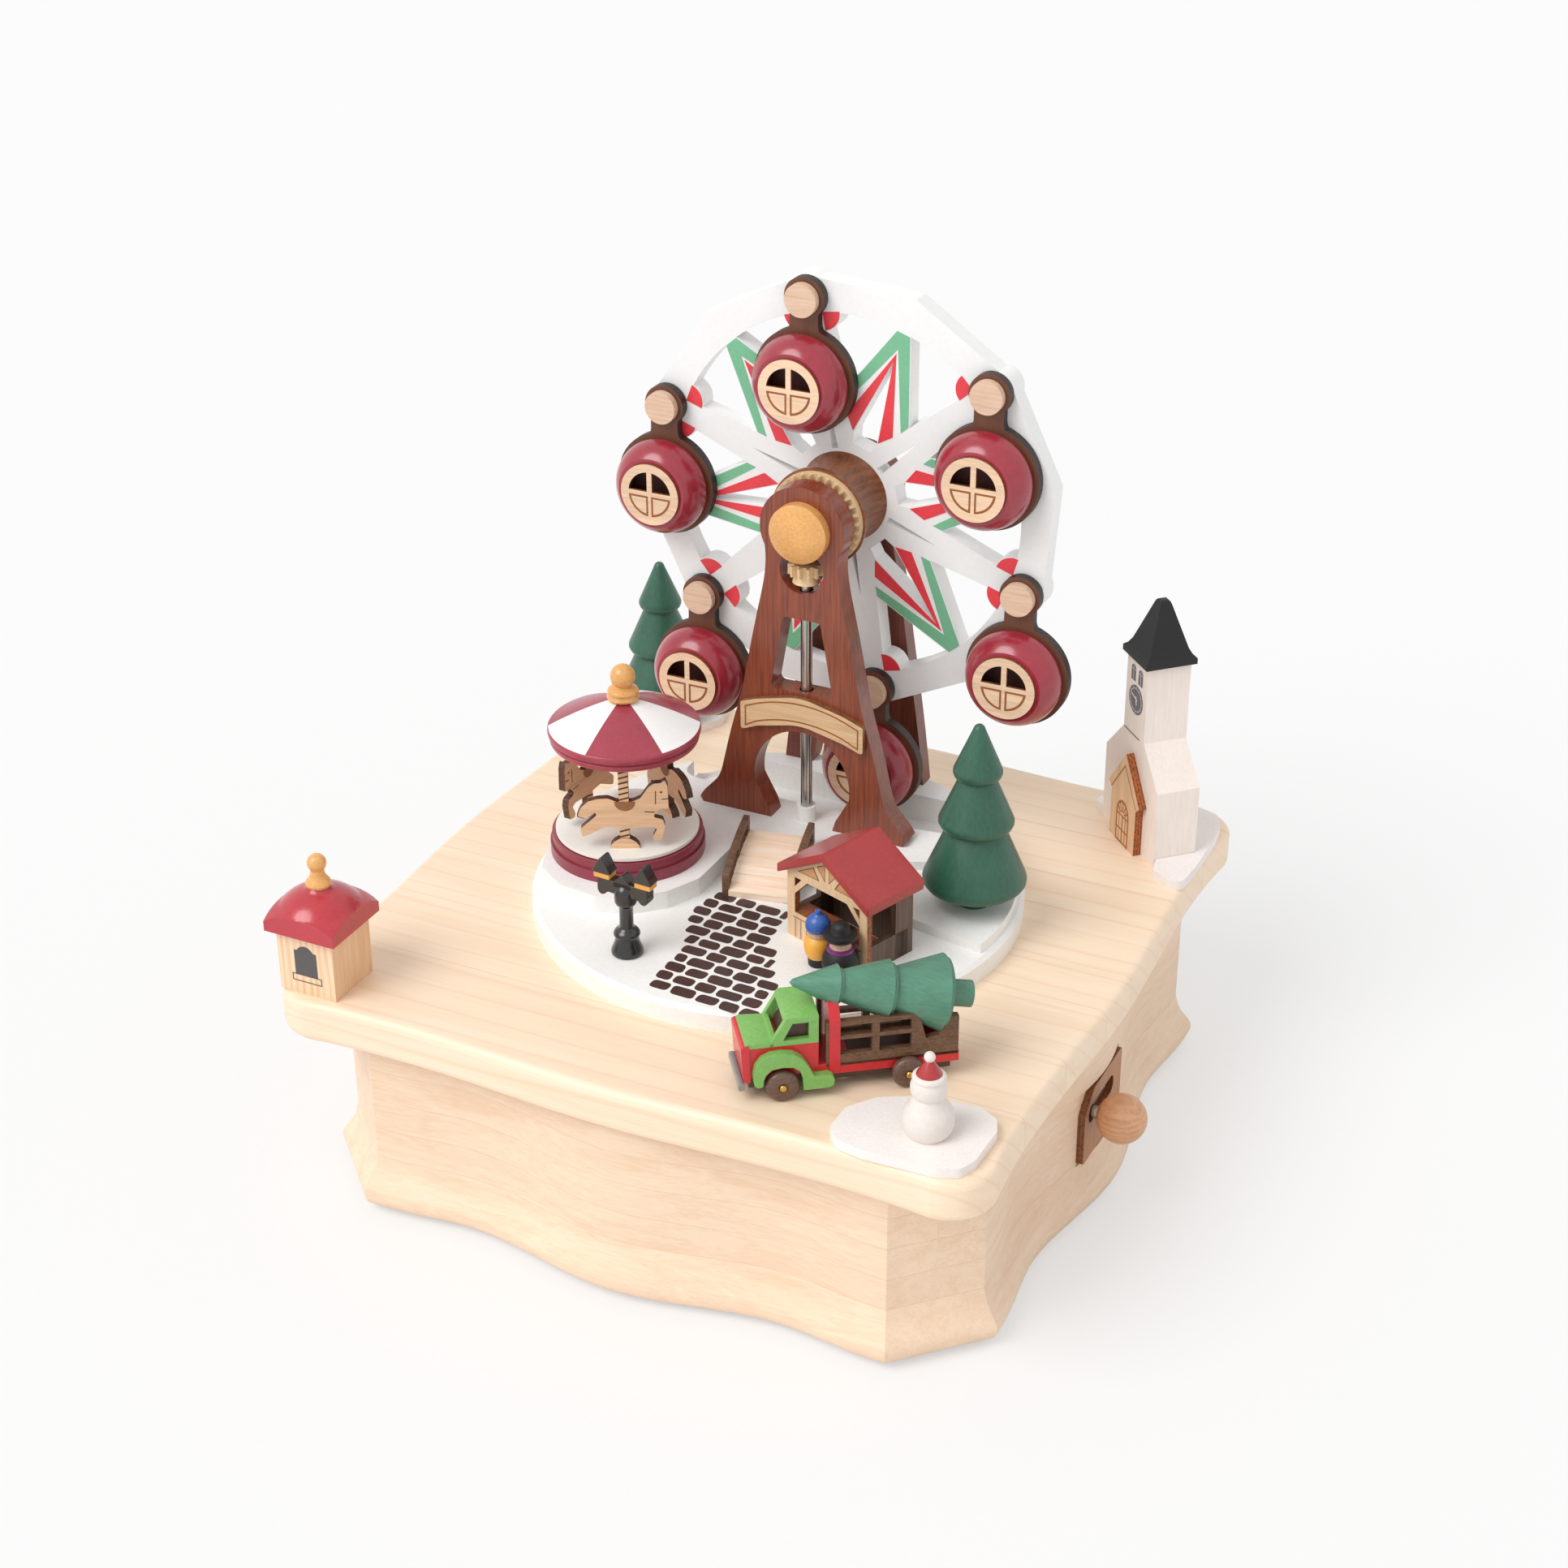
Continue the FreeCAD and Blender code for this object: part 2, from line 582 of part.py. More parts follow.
def crown(teeth, pitch, face, tall, phase=0.0):
    """Ring with teeth that rise along +Z from its face at height 0."""
    radius = teeth * pitch / 2
    inner_edge = radius - face / 2
    outer_edge = radius + face / 2
    step = 2 * math.pi / teeth
    ring = Part.makeCylinder(outer_edge, tall).cut(Part.makeCylinder(inner_edge, tall))
    pieces = []
    for i in range(teeth):
        angle = step * i + math.radians(phase)
        wide = 0.26 * step * radius
        slim = 0.10 * step * radius
        high = tall + 2.0 * pitch
        section = Part.makePolygon([vec(inner_edge + 0.1, -wide, tall - 0.1),
                                    vec(inner_edge + 0.1, wide, tall - 0.1),
                                    vec(inner_edge + 0.1, slim, high),
                                    vec(inner_edge + 0.1, -slim, high),
                                    vec(inner_edge + 0.1, -wide, tall - 0.1)])
        tooth = Part.Face(section).extrude(vec(face - 0.3, 0, 0))
        tooth.rotate(vec(0, 0, 0), ABOUT_Z, math.degrees(angle))
        pieces.append(tooth)
    return ring.fuse(pieces)


def mesh_phase(driver_phase, driver_teeth, teeth, direction):
    """Phase of a gear whose gap meets the driver's tooth along the line of centres."""
    step = 360.0 / driver_teeth
    offset = (float(direction) - driver_phase) / step
    part = offset - math.floor(offset)
    own = 360.0 / teeth
    return float(direction) + 180 + own * (part - 0.5)


pitch = float(S.gear_pitch)
thick = float(S.gear_thick)
gear_low = S.gear_level
center_teeth = int(float(S.center_teeth))
train_low = body_top + S.train_cover + S.train_gap
low_gear = shaped(spur(center_teeth, pitch, thick, 0), (0, 0, gear_low))
high_gear = shaped(spur(center_teeth, pitch, thick, 0), (0, 0, train_low))
center_shaft = cylinder(S.shaft_radius, body_top + S.train_shaft - gear_low + S.gear_thick,
                        (0, 0, gear_low - S.gear_thick))
node("center_gear", joined("center_gear", low_gear, high_gear, center_shaft))
arm_level = gear_low + S.gear_thick + S.arm_gap
arm = board("arm_blank", [(-9, -4), (S.arm_reach - 2, -3), (S.arm_reach - 2, 3), (-9, 4)],
            S.arm_thick)
place(arm, (0, 0, arm_level), turned(S.truck_angle))
arm_bore = cylinder(S.shaft_radius, S.arm_thick + 2, (0, 0, arm_level - 1))
arm_end = (S.arm_reach * cosine(S.truck_angle), S.arm_reach * sine(S.truck_angle))
magnet_low = groove_top - S.magnet_gap - S.magnet_thick
post = cylinder(S.magnet_radius, magnet_low - arm_level, (arm_end[0], arm_end[1], arm_level))
magnet = cylinder(S.magnet_radius, S.magnet_thick, (arm_end[0], arm_end[1], magnet_low))
arm_plate = carved("arm_plate", joined("arm_form", arm, post), arm_bore)
node("magnet_arm", group("magnet_arm", arm_plate, magnet))

rod_teeth = int(float(S.rod_teeth))
rod_direction = math.degrees(math.atan2(float(S.rod_y), float(S.wheel_x)))
rod_phase = mesh_phase(0.0, center_teeth, rod_teeth, rod_direction)
rod_gear = spur(rod_teeth, pitch, thick, S.rod_radius, rod_phase)
node("rod_gear", shaped(rod_gear, (rod_at[0], rod_at[1], train_low)))
pinion_mid = wheel_z - S.crown_teeth * S.fine_pitch / 2
rod_low = body_top + S.train_gap
rod_top = pinion_mid + S.pinion_high / 2 + 0.4
node("drive_rod", cylinder(S.rod_radius, rod_top - rod_low, (rod_at[0], rod_at[1], rod_low)))

pinion_teeth = int(float(S.pinion_teeth))
fine = float(S.fine_pitch)
tooth_body = spur(pinion_teeth, fine, float(S.pinion_high), 0, 90)
flared = Part.makeCone(float(S.collar_radius) + 0.2, float(S.collar_radius) - 0.6,
                       float(S.collar_high), vec(0, 0, -float(S.collar_high)))
pinion = tooth_body.fuse(flared)
pinion = pinion.cut(Part.makeCylinder(float(S.rod_radius), 20, vec(0, 0, -8)))
node("pinion", shaped(pinion.removeSplitter(), (rod_at[0], rod_at[1], pinion_mid - S.pinion_high / 2)))

crown_teeth = int(float(S.crown_teeth))
pinion_radius = S.pinion_teeth * S.fine_pitch / 2
crown_tip = S.rod_y + pinion_radius - 0.8 * S.fine_pitch
crown_tall = 1.9
crown_ring = crown(crown_teeth, fine, 3.0, crown_tall, -90.0 + 180.0 / crown_teeth)
crown_ring = crown_ring.fuse(Part.makeCylinder(13.2, 1.0))
crown_ring = crown_ring.cut(Part.makeCylinder(float(S.axle_radius + S.running), 5, vec(0, 0, -1)))
crown_ring.rotate(vec(0, 0, 0), FreeCAD.Vector(1, 0, 0), 90)
crown_back = crown_tip + 2.0 * S.fine_pitch + crown_tall
node("crown_gear", shaped(crown_ring.removeSplitter(), (S.wheel_x, crown_back, wheel_z)))

carousel_teeth = int(float(S.carousel_teeth))
carousel_phase = mesh_phase(0.0, center_teeth, carousel_teeth, S.carousel_angle)
ring_gear = shaped(spur(carousel_teeth, pitch, thick, 0, carousel_phase),
                   (carousel_at[0], carousel_at[1], train_low))
disc_low = terrace_top + S.carousel_step + 0.3
carousel_shaft = cylinder(S.shaft_radius, disc_low - body_top - S.train_gap,
                          (carousel_at[0], carousel_at[1], body_top + S.train_gap))
node("carousel_gear", joined("carousel_gear", ring_gear, carousel_shaft))

# Music movement in the base

barrel_teeth = int(float(S.barrel_teeth))
barrel_phase = mesh_phase(0.0, center_teeth, barrel_teeth, S.barrel_angle)
barrel_gear = shaped(spur(barrel_teeth, pitch, thick, 0, barrel_phase),
                     (barrel_at[0], barrel_at[1], gear_low))
can = cylinder(S.can_radius, S.can_high, (barrel_at[0], barrel_at[1], S.can_low))
can_neck = cylinder(3.5, gear_low - S.can_low - S.can_high,
                    (barrel_at[0], barrel_at[1], S.can_low + S.can_high))
can_crown = shaped(crown(int(float(S.crown_teeth)), fine, 3.0, 0.5),
                   (barrel_at[0], barrel_at[1], S.can_low + S.can_high))
can_crown_tip = S.can_low + S.can_high + 0.5 + 2.0 * S.fine_pitch
node("spring_barrel", joined("spring_barrel", barrel_gear, can, can_neck, can_crown))

bed_low = S.can_low - 0.4 - S.bedplate_thick
bed = board("bed_blank", [(barrel_at[0] - 20, barrel_at[1] - 20), (barrel_at[0] + 62, barrel_at[1] - 20),
                          (barrel_at[0] + 62, barrel_at[1] + 27),
                          (barrel_at[0] - 20, barrel_at[1] + 27)],
            S.bedplate_thick, at=(0, 0, bed_low))
bed_hole = cylinder(2.6, S.bedplate_thick + 2, (barrel_at[0], barrel_at[1], bed_low - 1))
feet = [cylinder(2.5, bed_low - ledge_top - S.bottom_thick,
                 (barrel_at[0] + dx, barrel_at[1] + dy, ledge_top + S.bottom_thick))
        for dx, dy in ((-17, -17), (-17, 24), (59, -17), (59, 24))]
lever_pin = cylinder(S.axle_radius, 7.0, (pivot[0], pivot[1], bed_low + S.bedplate_thick))
tune_x = barrel_at[0] + S.can_radius + 4
tune_radius = S.tune_teeth * S.fine_pitch / 2
tune_z = can_crown_tip - 0.8 * S.fine_pitch + tune_radius
posts = [block(1.6, 10, tune_z + 4 - bed_low - S.bedplate_thick,
               (tune_x + dx, barrel_at[1] - 5, bed_low + S.bedplate_thick))
         for dx in (0, S.cylinder_long + 4)]
post_bores = [cylinder(1.05, 4, (tune_x + dx, barrel_at[1], tune_z), ALONG_X)
              for dx in (-1, S.cylinder_long + 3)]
bed_all = joined("bed_form", bed, lever_pin, *(feet + posts))
node("movement_bedplate", carved("movement_bedplate", bed_all, bed_hole, *post_bores))
drum = cylinder(S.cylinder_radius, S.cylinder_long, (tune_x + 2.6, barrel_at[1], tune_z), ALONG_X)
crown_mid = S.crown_teeth * S.fine_pitch / 2
drum_axle = cylinder(1.0, S.cylinder_long + S.can_radius + 11.1 - crown_mid,
                     (barrel_at[0] + crown_mid - 1.5, barrel_at[1], tune_z), ALONG_X)
tune_pinion = spur(int(float(S.tune_teeth)), fine, 3.0, 0, 180.0 / float(S.tune_teeth))
tune_pinion.rotate(vec(0, 0, 0), FreeCAD.Vector(0, 1, 0), 90)
tune_pinion = shaped(tune_pinion, (barrel_at[0] + crown_mid - 1.5, barrel_at[1], tune_z))
node("music_cylinder", joined("music_cylinder", drum, drum_axle, tune_pinion))
comb_reach = 8.0
comb_teeth = slab([(0, 0), (float(S.cylinder_long), 0), (float(S.cylinder_long), 9), (0, 9)], 1.0)
for i in range(1, 15):
    x = float(S.cylinder_long) * i / 15
    comb_teeth = comb_teeth.cut(Part.makeBox(0.4, comb_reach, 3, vec(x - 0.2, -0.5, -1)))
comb = shaped(comb_teeth, (tune_x + 2.6, barrel_at[1] + S.cylinder_radius + 0.4, tune_z - 0.5))
comb_foot = block(S.cylinder_long, 3, tune_z - 0.5 - bed_low - S.bedplate_thick,
                  (tune_x + 2.6, barrel_at[1] + S.cylinder_radius + 6.4,
                   bed_low + S.bedplate_thick))
node("music_comb", joined("music_comb", comb, comb_foot))
fan_x = tune_x + S.cylinder_long + 9
fan_low = bed_low + S.bedplate_thick + 0.05
fan = block(8, 0.8, 5, (fan_x - 4, barrel_at[1] - 10.4, fan_low + 9))
fan_stem = cylinder(0.8, 15, (fan_x, barrel_at[1] - 10, fan_low))
node("governor", joined("governor", fan, fan_stem))

# Snow island: disc, terrace, low step, pocket for the passing gondolas, bush for the rod

island_r = float(S.island_radius)
disc = revolved([(0, 0), (island_r, 0), (island_r, S.island_thick - 1.2),
                 (island_r - 1.2, S.island_thick), (0, S.island_thick)])


def on_disc(points, thick, low, inset):
    prism = slab(points, thick, 2.5, "xy", low)
    bound = Part.makeCylinder(island_r - inset, float(thick) + 0.01, vec(0, 0, low))
    return prism.common(bound)


terrace = [(-90, -5), (-69, -16), (-62, -32), (-52, -38.5), (-40, -39.8), (-30.5, -36.5),
           (-22, -28.5), (-17, -18), (-16.7, 2), (-14, 12.5), (3, 12.5), (9, 6), (22, 9),
           (34, 17), (48, 23), (60, 25), (90, 26), (90, 90), (-90, 90)]
low_step = [(3, 10), (8, 2), (22, -4), (38, -6), (52, -9), (72, -13), (90, -12), (90, 40),
            (0, 40)]
island = disc.fuse([on_disc(terrace, S.terrace_thick, S.island_thick, 3.2),
                    on_disc(low_step, S.step_thick, S.island_thick, 2.2)])
pocket_wall = [(-52, 37.4, 6), (-36, 36, 3), (28, 36, 3), (44, 38, 6), (44, 52, 6), (30, 56, 3),
               (-38, 56, 3), (-52, 53, 6)]
island = island.cut(slab(pocket_wall, 20, 2, "xy", S.pocket_floor))
bush = Part.makeCylinder(float(S.bush_radius), float(S.bush_height),
                         vec(rod_at[0], rod_at[1], island_top + S.terrace_thick - top))
island = island.fuse(bush)
for spot, radius in ((rod_at, S.rod_radius + S.running), (carousel_at, S.shaft_radius + 0.5)):
    island = island.cut(Part.makeCylinder(float(radius), 40, vec(spot[0], spot[1], -1)))
node("snow_island", shaped(island.removeSplitter(), (0, 0, top)))

# Bridge: arched deck with two railings

deck_wide = float(S.deck_width)
deck_low = float(S.island_thick)
deck_profile = [(-13.5, deck_low + 0.2), (-4, deck_low + 4.2), (4, deck_low + 6.0),
                (12.3, deck_low + 6.9)]
ribbon = deck_profile + [(y, z + float(S.deck_thick)) for y, z in reversed(deck_profile)]
bridge = slab(ribbon, deck_wide, 0, "yz", -deck_wide / 2)
legs = Part.makeBox(deck_wide - 3, 2.0, 1.0, vec(1.5 - deck_wide / 2, -13.4, deck_low))
rails = []
for side in (-1, 1):
    low = side * deck_wide / 2 - (float(S.rail_thick) if side < 0 else 0)
    tall = float(S.rail_height)
    outline = ([(y, z - 0.2) for y, z in deck_profile]
               + [(y, z + tall) for y, z in reversed(deck_profile)])
    opening = [(-11.5, deck_low + 2.9), (-4, deck_low + 5.8), (-0.8, deck_low + 6.5),
               (-0.8, deck_low + 9.7), (-4, deck_low + 9.0), (-11.5, deck_low + 5.9)]
    second = [(1.2, deck_low + 6.9), (10.3, deck_low + 8.2), (10.3, deck_low + 11.4),
              (1.2, deck_low + 10.1)]
    rails.append(slab(outline, S.rail_thick, 0, "yz", low, [opening, second]))
whole = bridge.fuse(rails + [legs])
node("bridge", shaped(whole.removeSplitter(), (-3.0, 0, top), turned(12)))

# Frames that carry the axle


def frame_side(outer, feet, inner):
    """Half an A-frame from the head down the outside, across the foot and up the inside."""
    head = float(S.head_radius)
    start = (head * sine(62.0), -head * cosine(62.0))
    right = spline([start] + outer, "xz")
    arch = spline(inner, "xz")
    edges = [right]
    chain = [outer[-1]] + feet + [inner[0]]
    for a, b in zip(chain, chain[1:]):
        edges.append(Part.LineSegment(vec(a[0], 0, a[1]), vec(b[0], 0, b[1])).toShape())
    edges.append(arch)
    return edges, start


def a_frame(thick, outer, feet, inner, window, notch):
    edges, start = frame_side(outer, feet, inner)
    mirrored = [edge.mirror(vec(0, 0, 0), FreeCAD.Vector(1, 0, 0)) for edge in edges]
    crest = Part.Arc(vec(start[0], 0, start[1]), vec(0, 0, S.head_radius),
                     vec(-start[0], 0, start[1])).toShape()
    wire = Part.Wire(Part.__sortEdges__(edges + mirrored + [crest]))
    frame = Part.Face(wire).extrude(vec(0, thick, 0))
    if window:
        frame = frame.cut(slab(window, thick, 1.6, "xz"))
    if notch:
        frame = frame.cut(Part.makeCylinder(float(S.notch_radius), float(thick) + 2,
                                            vec(0, -1, -S.notch_drop), FreeCAD.Vector(0, 1, 0)))
    return frame


base_drop = -(wheel_z - terrace_top)
drawn = 95.95  # the drop from the axle to the terrace that the outlines are drawn for


def scaled(points):
    return [(p[0], p[1] * float(terrace_top - wheel_z) / -drawn) + tuple(p[2:]) for p in points]


arch_top = -(wheel_z - top - S.crossbar_low)
sill = -(wheel_z - top - S.crossbar_high)
flared_leg = scaled([(11.7, -14), (13.7, -25), (16.4, -38), (20.1, -56.3), (23.6, -69.3), (26.3, -81),
                     (28.3, -86.6), (32.0, -90.8)]) + [(34.3, base_drop + 1.6)]
leg_inside = scaled([(15.6, -84.5), (15.7, -80.5), (14.4, -75.2), (10.2, -69.0)])
leg_inside += [(5.2, arch_top - 0.9), (0, arch_top)]
window = scaled([(-6.0, -28), (6.0, -28)]) + [(10.2, sill), (-10.2, sill)]
front = a_frame(S.front_thick, flared_leg,
                [(33.2, base_drop), (10.2, base_drop), (11.2, base_drop + 3.4)],
                leg_inside, window, True)
through = Part.makeCylinder(float(S.rod_radius + S.running) + 0.3, float(-arch_top) + 8 - float(S.notch_drop),
                            vec(0, S.rod_y - S.front_y, arch_top - 8))
front = front.cut(through)
axle_bore = Part.makeCylinder(float(S.axle_radius), 40, vec(0, -1, 0), FreeCAD.Vector(0, 1, 0))
front = front.cut(axle_bore)
node("front_frame", shaped(front.removeSplitter(), (S.wheel_x, S.front_y, wheel_z)))
straight_leg = scaled([(11.7, -14), (13.7, -25), (16.4, -43), (20.4, -70)]) + [(23.6, base_drop)]
rear_inside = [(14.2, base_drop)] + scaled([(12.8, -84), (10.6, -74), (5.4, -69.8), (0, -69.0)])
rear = a_frame(S.rear_thick, straight_leg, [], rear_inside, window, False)
rear = rear.cut(axle_bore)
node("rear_frame", shaped(rear.removeSplitter(), (S.wheel_x, S.rear_y, wheel_z)))

plaque = [(-19.5, 41.3, 0.8), (-19.5, 50.6, 0.8), (-14, 52.6, 6), (0, 56.0, 18), (14, 52.6, 6),
          (20.5, 50.2, 0.8), (20.5, 41.2, 0.8), (14, 43.6, 6), (0, 46.8, 18), (-14, 43.6, 6)]
node("arched_plaque", shaped(slab(plaque, S.plaque_thick, 0, "xz"),
                             (S.wheel_x + 0.3, S.front_y - S.plaque_thick, top)))
axle_long = S.rear_y + S.rear_thick - S.front_y
node("wheel_axle", cylinder(S.axle_radius, axle_long, (S.wheel_x, S.front_y, wheel_z), ALONG_Y))
cap_crest = 1.0
dome_bulge = float(S.cap_dome) / 4
cap = revolved([(0, 0), (S.cap_radius, 0), (S.cap_radius, S.cap_thick),
                (cap_crest, S.cap_thick + S.cap_dome), (0, S.cap_thick + S.cap_dome)],
               [(2, dome_bulge)])
cap.rotate(vec(0, 0, 0), FreeCAD.Vector(1, 0, 0), 90)
node("frame_cap", shaped(cap, (S.wheel_x, S.front_y, wheel_z)))

# Wheel: twelve-sided rim, six slit spokes over the pegs, six V braces between them


def spin(point, degrees):
    c, s = cosine(degrees), sine(degrees)
    return (point[0] * c - point[1] * s, point[0] * s + point[1] * c)


thick_wheel = float(S.wheel_thick)
rim_r = float(S.rim_outer)
inner_r = float(S.rim_inner)
start_angle = float(S.peg_start)
rim = slab([spin((rim_r, 0), start_angle + 30 * i) for i in range(12)], thick_wheel, 0, "xz")
y_way = FreeCAD.Vector(0, 1, 0)
rim = rim.cut(Part.makeCylinder(inner_r, thick_wheel, vec(0, 0, 0), y_way))
parts = [Part.makeCylinder(float(S.wheel_hub), thick_wheel, vec(0, 0, 0), y_way)]
slits = []
root = float(S.spoke_root)
tip = float(S.spoke_tip)
for i in range(6):
    angle = start_angle + 30 + 60 * i
    spoke = [(14, root), (20, root), (57, tip), (57, -tip), (20, -root), (14, -root)]
    parts.append(slab([spin(p, angle) for p in spoke], thick_wheel, 0, "xz"))
    middle_angle = angle + 30
    brace = [(58, 1.6), (29, 11.7), (15.5, 8.5), (15.5, -8.5), (29, -11.7), (58, -1.6)]
    parts.append(slab([spin(p, middle_angle) for p in brace], thick_wheel, 0, "xz"))
    gap = [(46.8, 0), (20.8, 3.9), (17.2, 3.0), (17.2, -3.0), (20.8, -3.9)]
    slits.append(slab([spin(p, middle_angle) for p in gap], thick_wheel, 0, "xz"))
    for across in (-tip, tip):
        corner = spin((math.sqrt(inner_r ** 2 - tip ** 2), across), angle)
        parts.append(Part.makeCylinder(float(S.gusset_radius), thick_wheel,
                                       vec(corner[0], 0, corner[1]), y_way))
    slit = [(15, -float(S.slit_width) / 2), (S.slit_reach, 0), (15, float(S.slit_width) / 2)]
    slits.append(slab([spin(p, angle) for p in slit], thick_wheel, 0, "xz"))
wheel = rim.fuse(parts)
for slit in slits:
    wheel = wheel.cut(slit)
wheel = wheel.cut(Part.makeCylinder(float(S.axle_radius + S.running), 20, vec(0, -1, 0), y_way))
peg_spots = []
for i in range(6):
    x, z = spin((float(S.peg_circle), 0), start_angle + 30 + 60 * i)
    peg_spots.append((x, z))
    wheel = wheel.cut(Part.makeCylinder(float(S.peg_radius), 20, vec(x, -1, z), y_way))
node("wheel", shaped(wheel.removeSplitter(), (S.wheel_x, S.wheel_y, wheel_z)))

spool_y = crown_back + S.washer_thick
spool_long = float(S.wheel_y - spool_y)
washer = Part.makeCylinder(float(S.washer_radius), float(S.washer_thick), vec(0, 0, 0))
spool = revolved([(0, 0), (S.spool_front, 0), (S.spool_waist, spool_long * 0.35),
                  (S.spool_back, spool_long), (0, spool_long)], [(2, -1.0)])
spool.translate(vec(0, 0, S.washer_thick))
spool = spool.fuse(washer)
spool = spool.cut(Part.makeCylinder(float(S.axle_radius + S.running), 60, vec(0, 0, -1)))
spool.rotate(vec(0, 0, 0), FreeCAD.Vector(1, 0, 0), -90)
node("hub_spool", shaped(spool.removeSplitter(), (S.wheel_x, crown_back, wheel_z)))

hanger_y = S.wheel_y - S.hanger_gap - S.hanger_thick
peg_front = hanger_y - S.hanger_gap - S.peg_head_thick
peg_back = S.wheel_y + S.wheel_thick
pegs = []
for x, z in peg_spots:
    head = Part.makeCylinder(float(S.peg_head), float(S.peg_head_thick), vec(x, 0, z), y_way)
    pin = Part.makeCylinder(float(S.peg_radius), float(peg_back - peg_front), vec(x, 0, z), y_way)
    boss = Part.makeCylinder(float(S.boss_radius), 1.6, vec(x, peg_back - peg_front, z), y_way)
    pegs.append(head.fuse([pin, boss]).removeSplitter())
node("wheel_pegs", shaped(Part.makeCompound(pegs), (S.wheel_x, peg_front, wheel_z)))

# Gondolas


def hanger_shape():
    drop = float(S.hanger_drop)
    neck = float(S.hanger_neck) / 2
    thick = float(S.hanger_thick)
    head = Part.makeCylinder(float(S.hanger_head), thick, vec(0, 0, 0), y_way)
    disc = Part.makeCylinder(float(S.hanger_plate), thick, vec(0, 0, -drop), y_way)
    web = slab([(-neck, 0), (neck, 0), (neck, -9), (neck + 3, -drop + 12), (-neck - 3, -drop + 12),
                (-neck, -9)], thick, 4, "xz")
    plate = head.fuse([disc, web])
    bore = Part.makeCylinder(float(S.peg_radius + S.running), 20, vec(0, -1, 0), y_way)
    return plate.cut(bore).removeSplitter()


def gondola_shape():
    long = float(S.barrel_long)
    end = float(S.barrel_end)
    radius = float(S.barrel_radius)
    drum = revolved([(0, 0), (end + 0.9, 0), (radius, long * 0.42), (end, long), (0, long)],
                    [(1, 0.7), (2, 0.7)])
    disc = Part.makeCylinder(float(S.window_radius), float(S.window_thick), vec(0, 0, long))
    whole = drum.fuse(disc)
    bar = float(S.pane_bar) / 2
    pane = Part.makeCylinder(float(S.pane_radius), float(S.pane_deep),
                             vec(0, 0, long + float(S.window_thick) - float(S.pane_deep)))
    for side in (-1, 1):
        corner = Part.makeBox(20, 20, 20, vec(bar if side > 0 else -bar - 20, bar, long - 10))
        whole = whole.cut(pane.common(corner))
    whole.rotate(vec(0, 0, 0), FreeCAD.Vector(1, 0, 0), 90)
    return whole.removeSplitter()


for i, (x, z) in enumerate(peg_spots, start=1):
    spot = (S.wheel_x + x, hanger_y, wheel_z + z)
    node("hanger_%d" % i, shaped(hanger_shape(), spot))
    below = (spot[0], hanger_y, wheel_z + z - S.hanger_drop)
    node("gondola_%d" % i, shaped(gondola_shape(), below))

# Carousel

cx, cy = carousel_at
step = float(S.carousel_step)
big = float(S.carousel_radius)
drum_base = revolved([(0, 0), (big, 0), (big, step * 0.55), (big - 0.6, step * 0.55),
                      (big - 0.6, step), (0, step)])
drum_base = drum_base.cut(Part.makeCylinder(float(S.shaft_radius + 0.5), 20, vec(0, 0, -1)))
node("carousel_base", shaped(drum_base, (cx, cy, terrace_top)))
node("carousel_disc", cylinder(S.disc_radius, S.disc_thick, (cx, cy, disc_low)))
disc_top = disc_low + S.disc_thick
roof_low = top + S.roof_level
roof_r = float(S.roof_radius)
rim_h = float(S.roof_rim)
rise_h = float(S.roof_rise)
roof = revolved([(0, 0), (roof_r - 1.4, 0), (roof_r - 0.6, 1.0), (roof_r - 0.6, 1.8),
                 (roof_r - 1.0, 2.2), (roof_r - 0.1, 2.8), (roof_r, rim_h - 0.6),
                 (roof_r - 0.7, rim_h), (3.2, rim_h + rise_h), (0, rim_h + rise_h)], [(7, 0.5)])
finial = revolved([(0, 0), (4.2, 0), (4.9, 1.0), (4.3, 2.1), (4.7, 2.8), (3.6, 3.8), (2.4, 4.0),
                   (2.4, 4.6), (0, 4.6)])
finial = finial.fuse(Part.makeSphere(3.7, vec(0, 0, 7.2)))
finial.translate(vec(0, 0, rim_h + rise_h))
node("carousel_roof", group("carousel_roof", shaped(roof, (cx, cy, roof_low)),
                            shaped(finial.removeSplitter(), (cx, cy, roof_low))))

HORSE = [(13.0, 13.1, 0.6), (10.5, 13.1, 0.5), (8.8, 11.3, 1), (8.6, 10.3, 1), (11.2, 9.6, 0.8),
         (11.8, 7.4, 0.6), (10.9, 2.8, 0.4), (8.4, 2.6, 0.4), (8.2, 3.9, 0.4), (9.5, 6.4, 0.6),
         (8.1, 7.2, 0.8), (1.6, 6.7, 1), (-5.5, 7.2, 1), (-10.5, 4.6, 0.6), (-12.3, 3.9, 0.5),
         (-12.8, 6.6, 0.5), (-8.0, 11.0, 1), (-8.4, 12.0, 0.5), (-11.2, 9.9, 0.6),
         (-13.5, 10.8, 0.6), (-12.6, 13.4, 1), (-10.4, 15.6, 1.5), (-7.7, 16.4, 1.5),
         (-4.6, 16.6, 2), (-2.0, 15.4, 1), (2.2, 15.4, 1), (4.8, 16.6, 2), (7.2, 20.2, 2),
         (8.8, 21.4, 1), (10.9, 21.6, 0.5), (12.0, 22.6, 0.3), (12.8, 20.6, 0.5)]
pole_long = float(roof_low - disc_top)
mounts = []
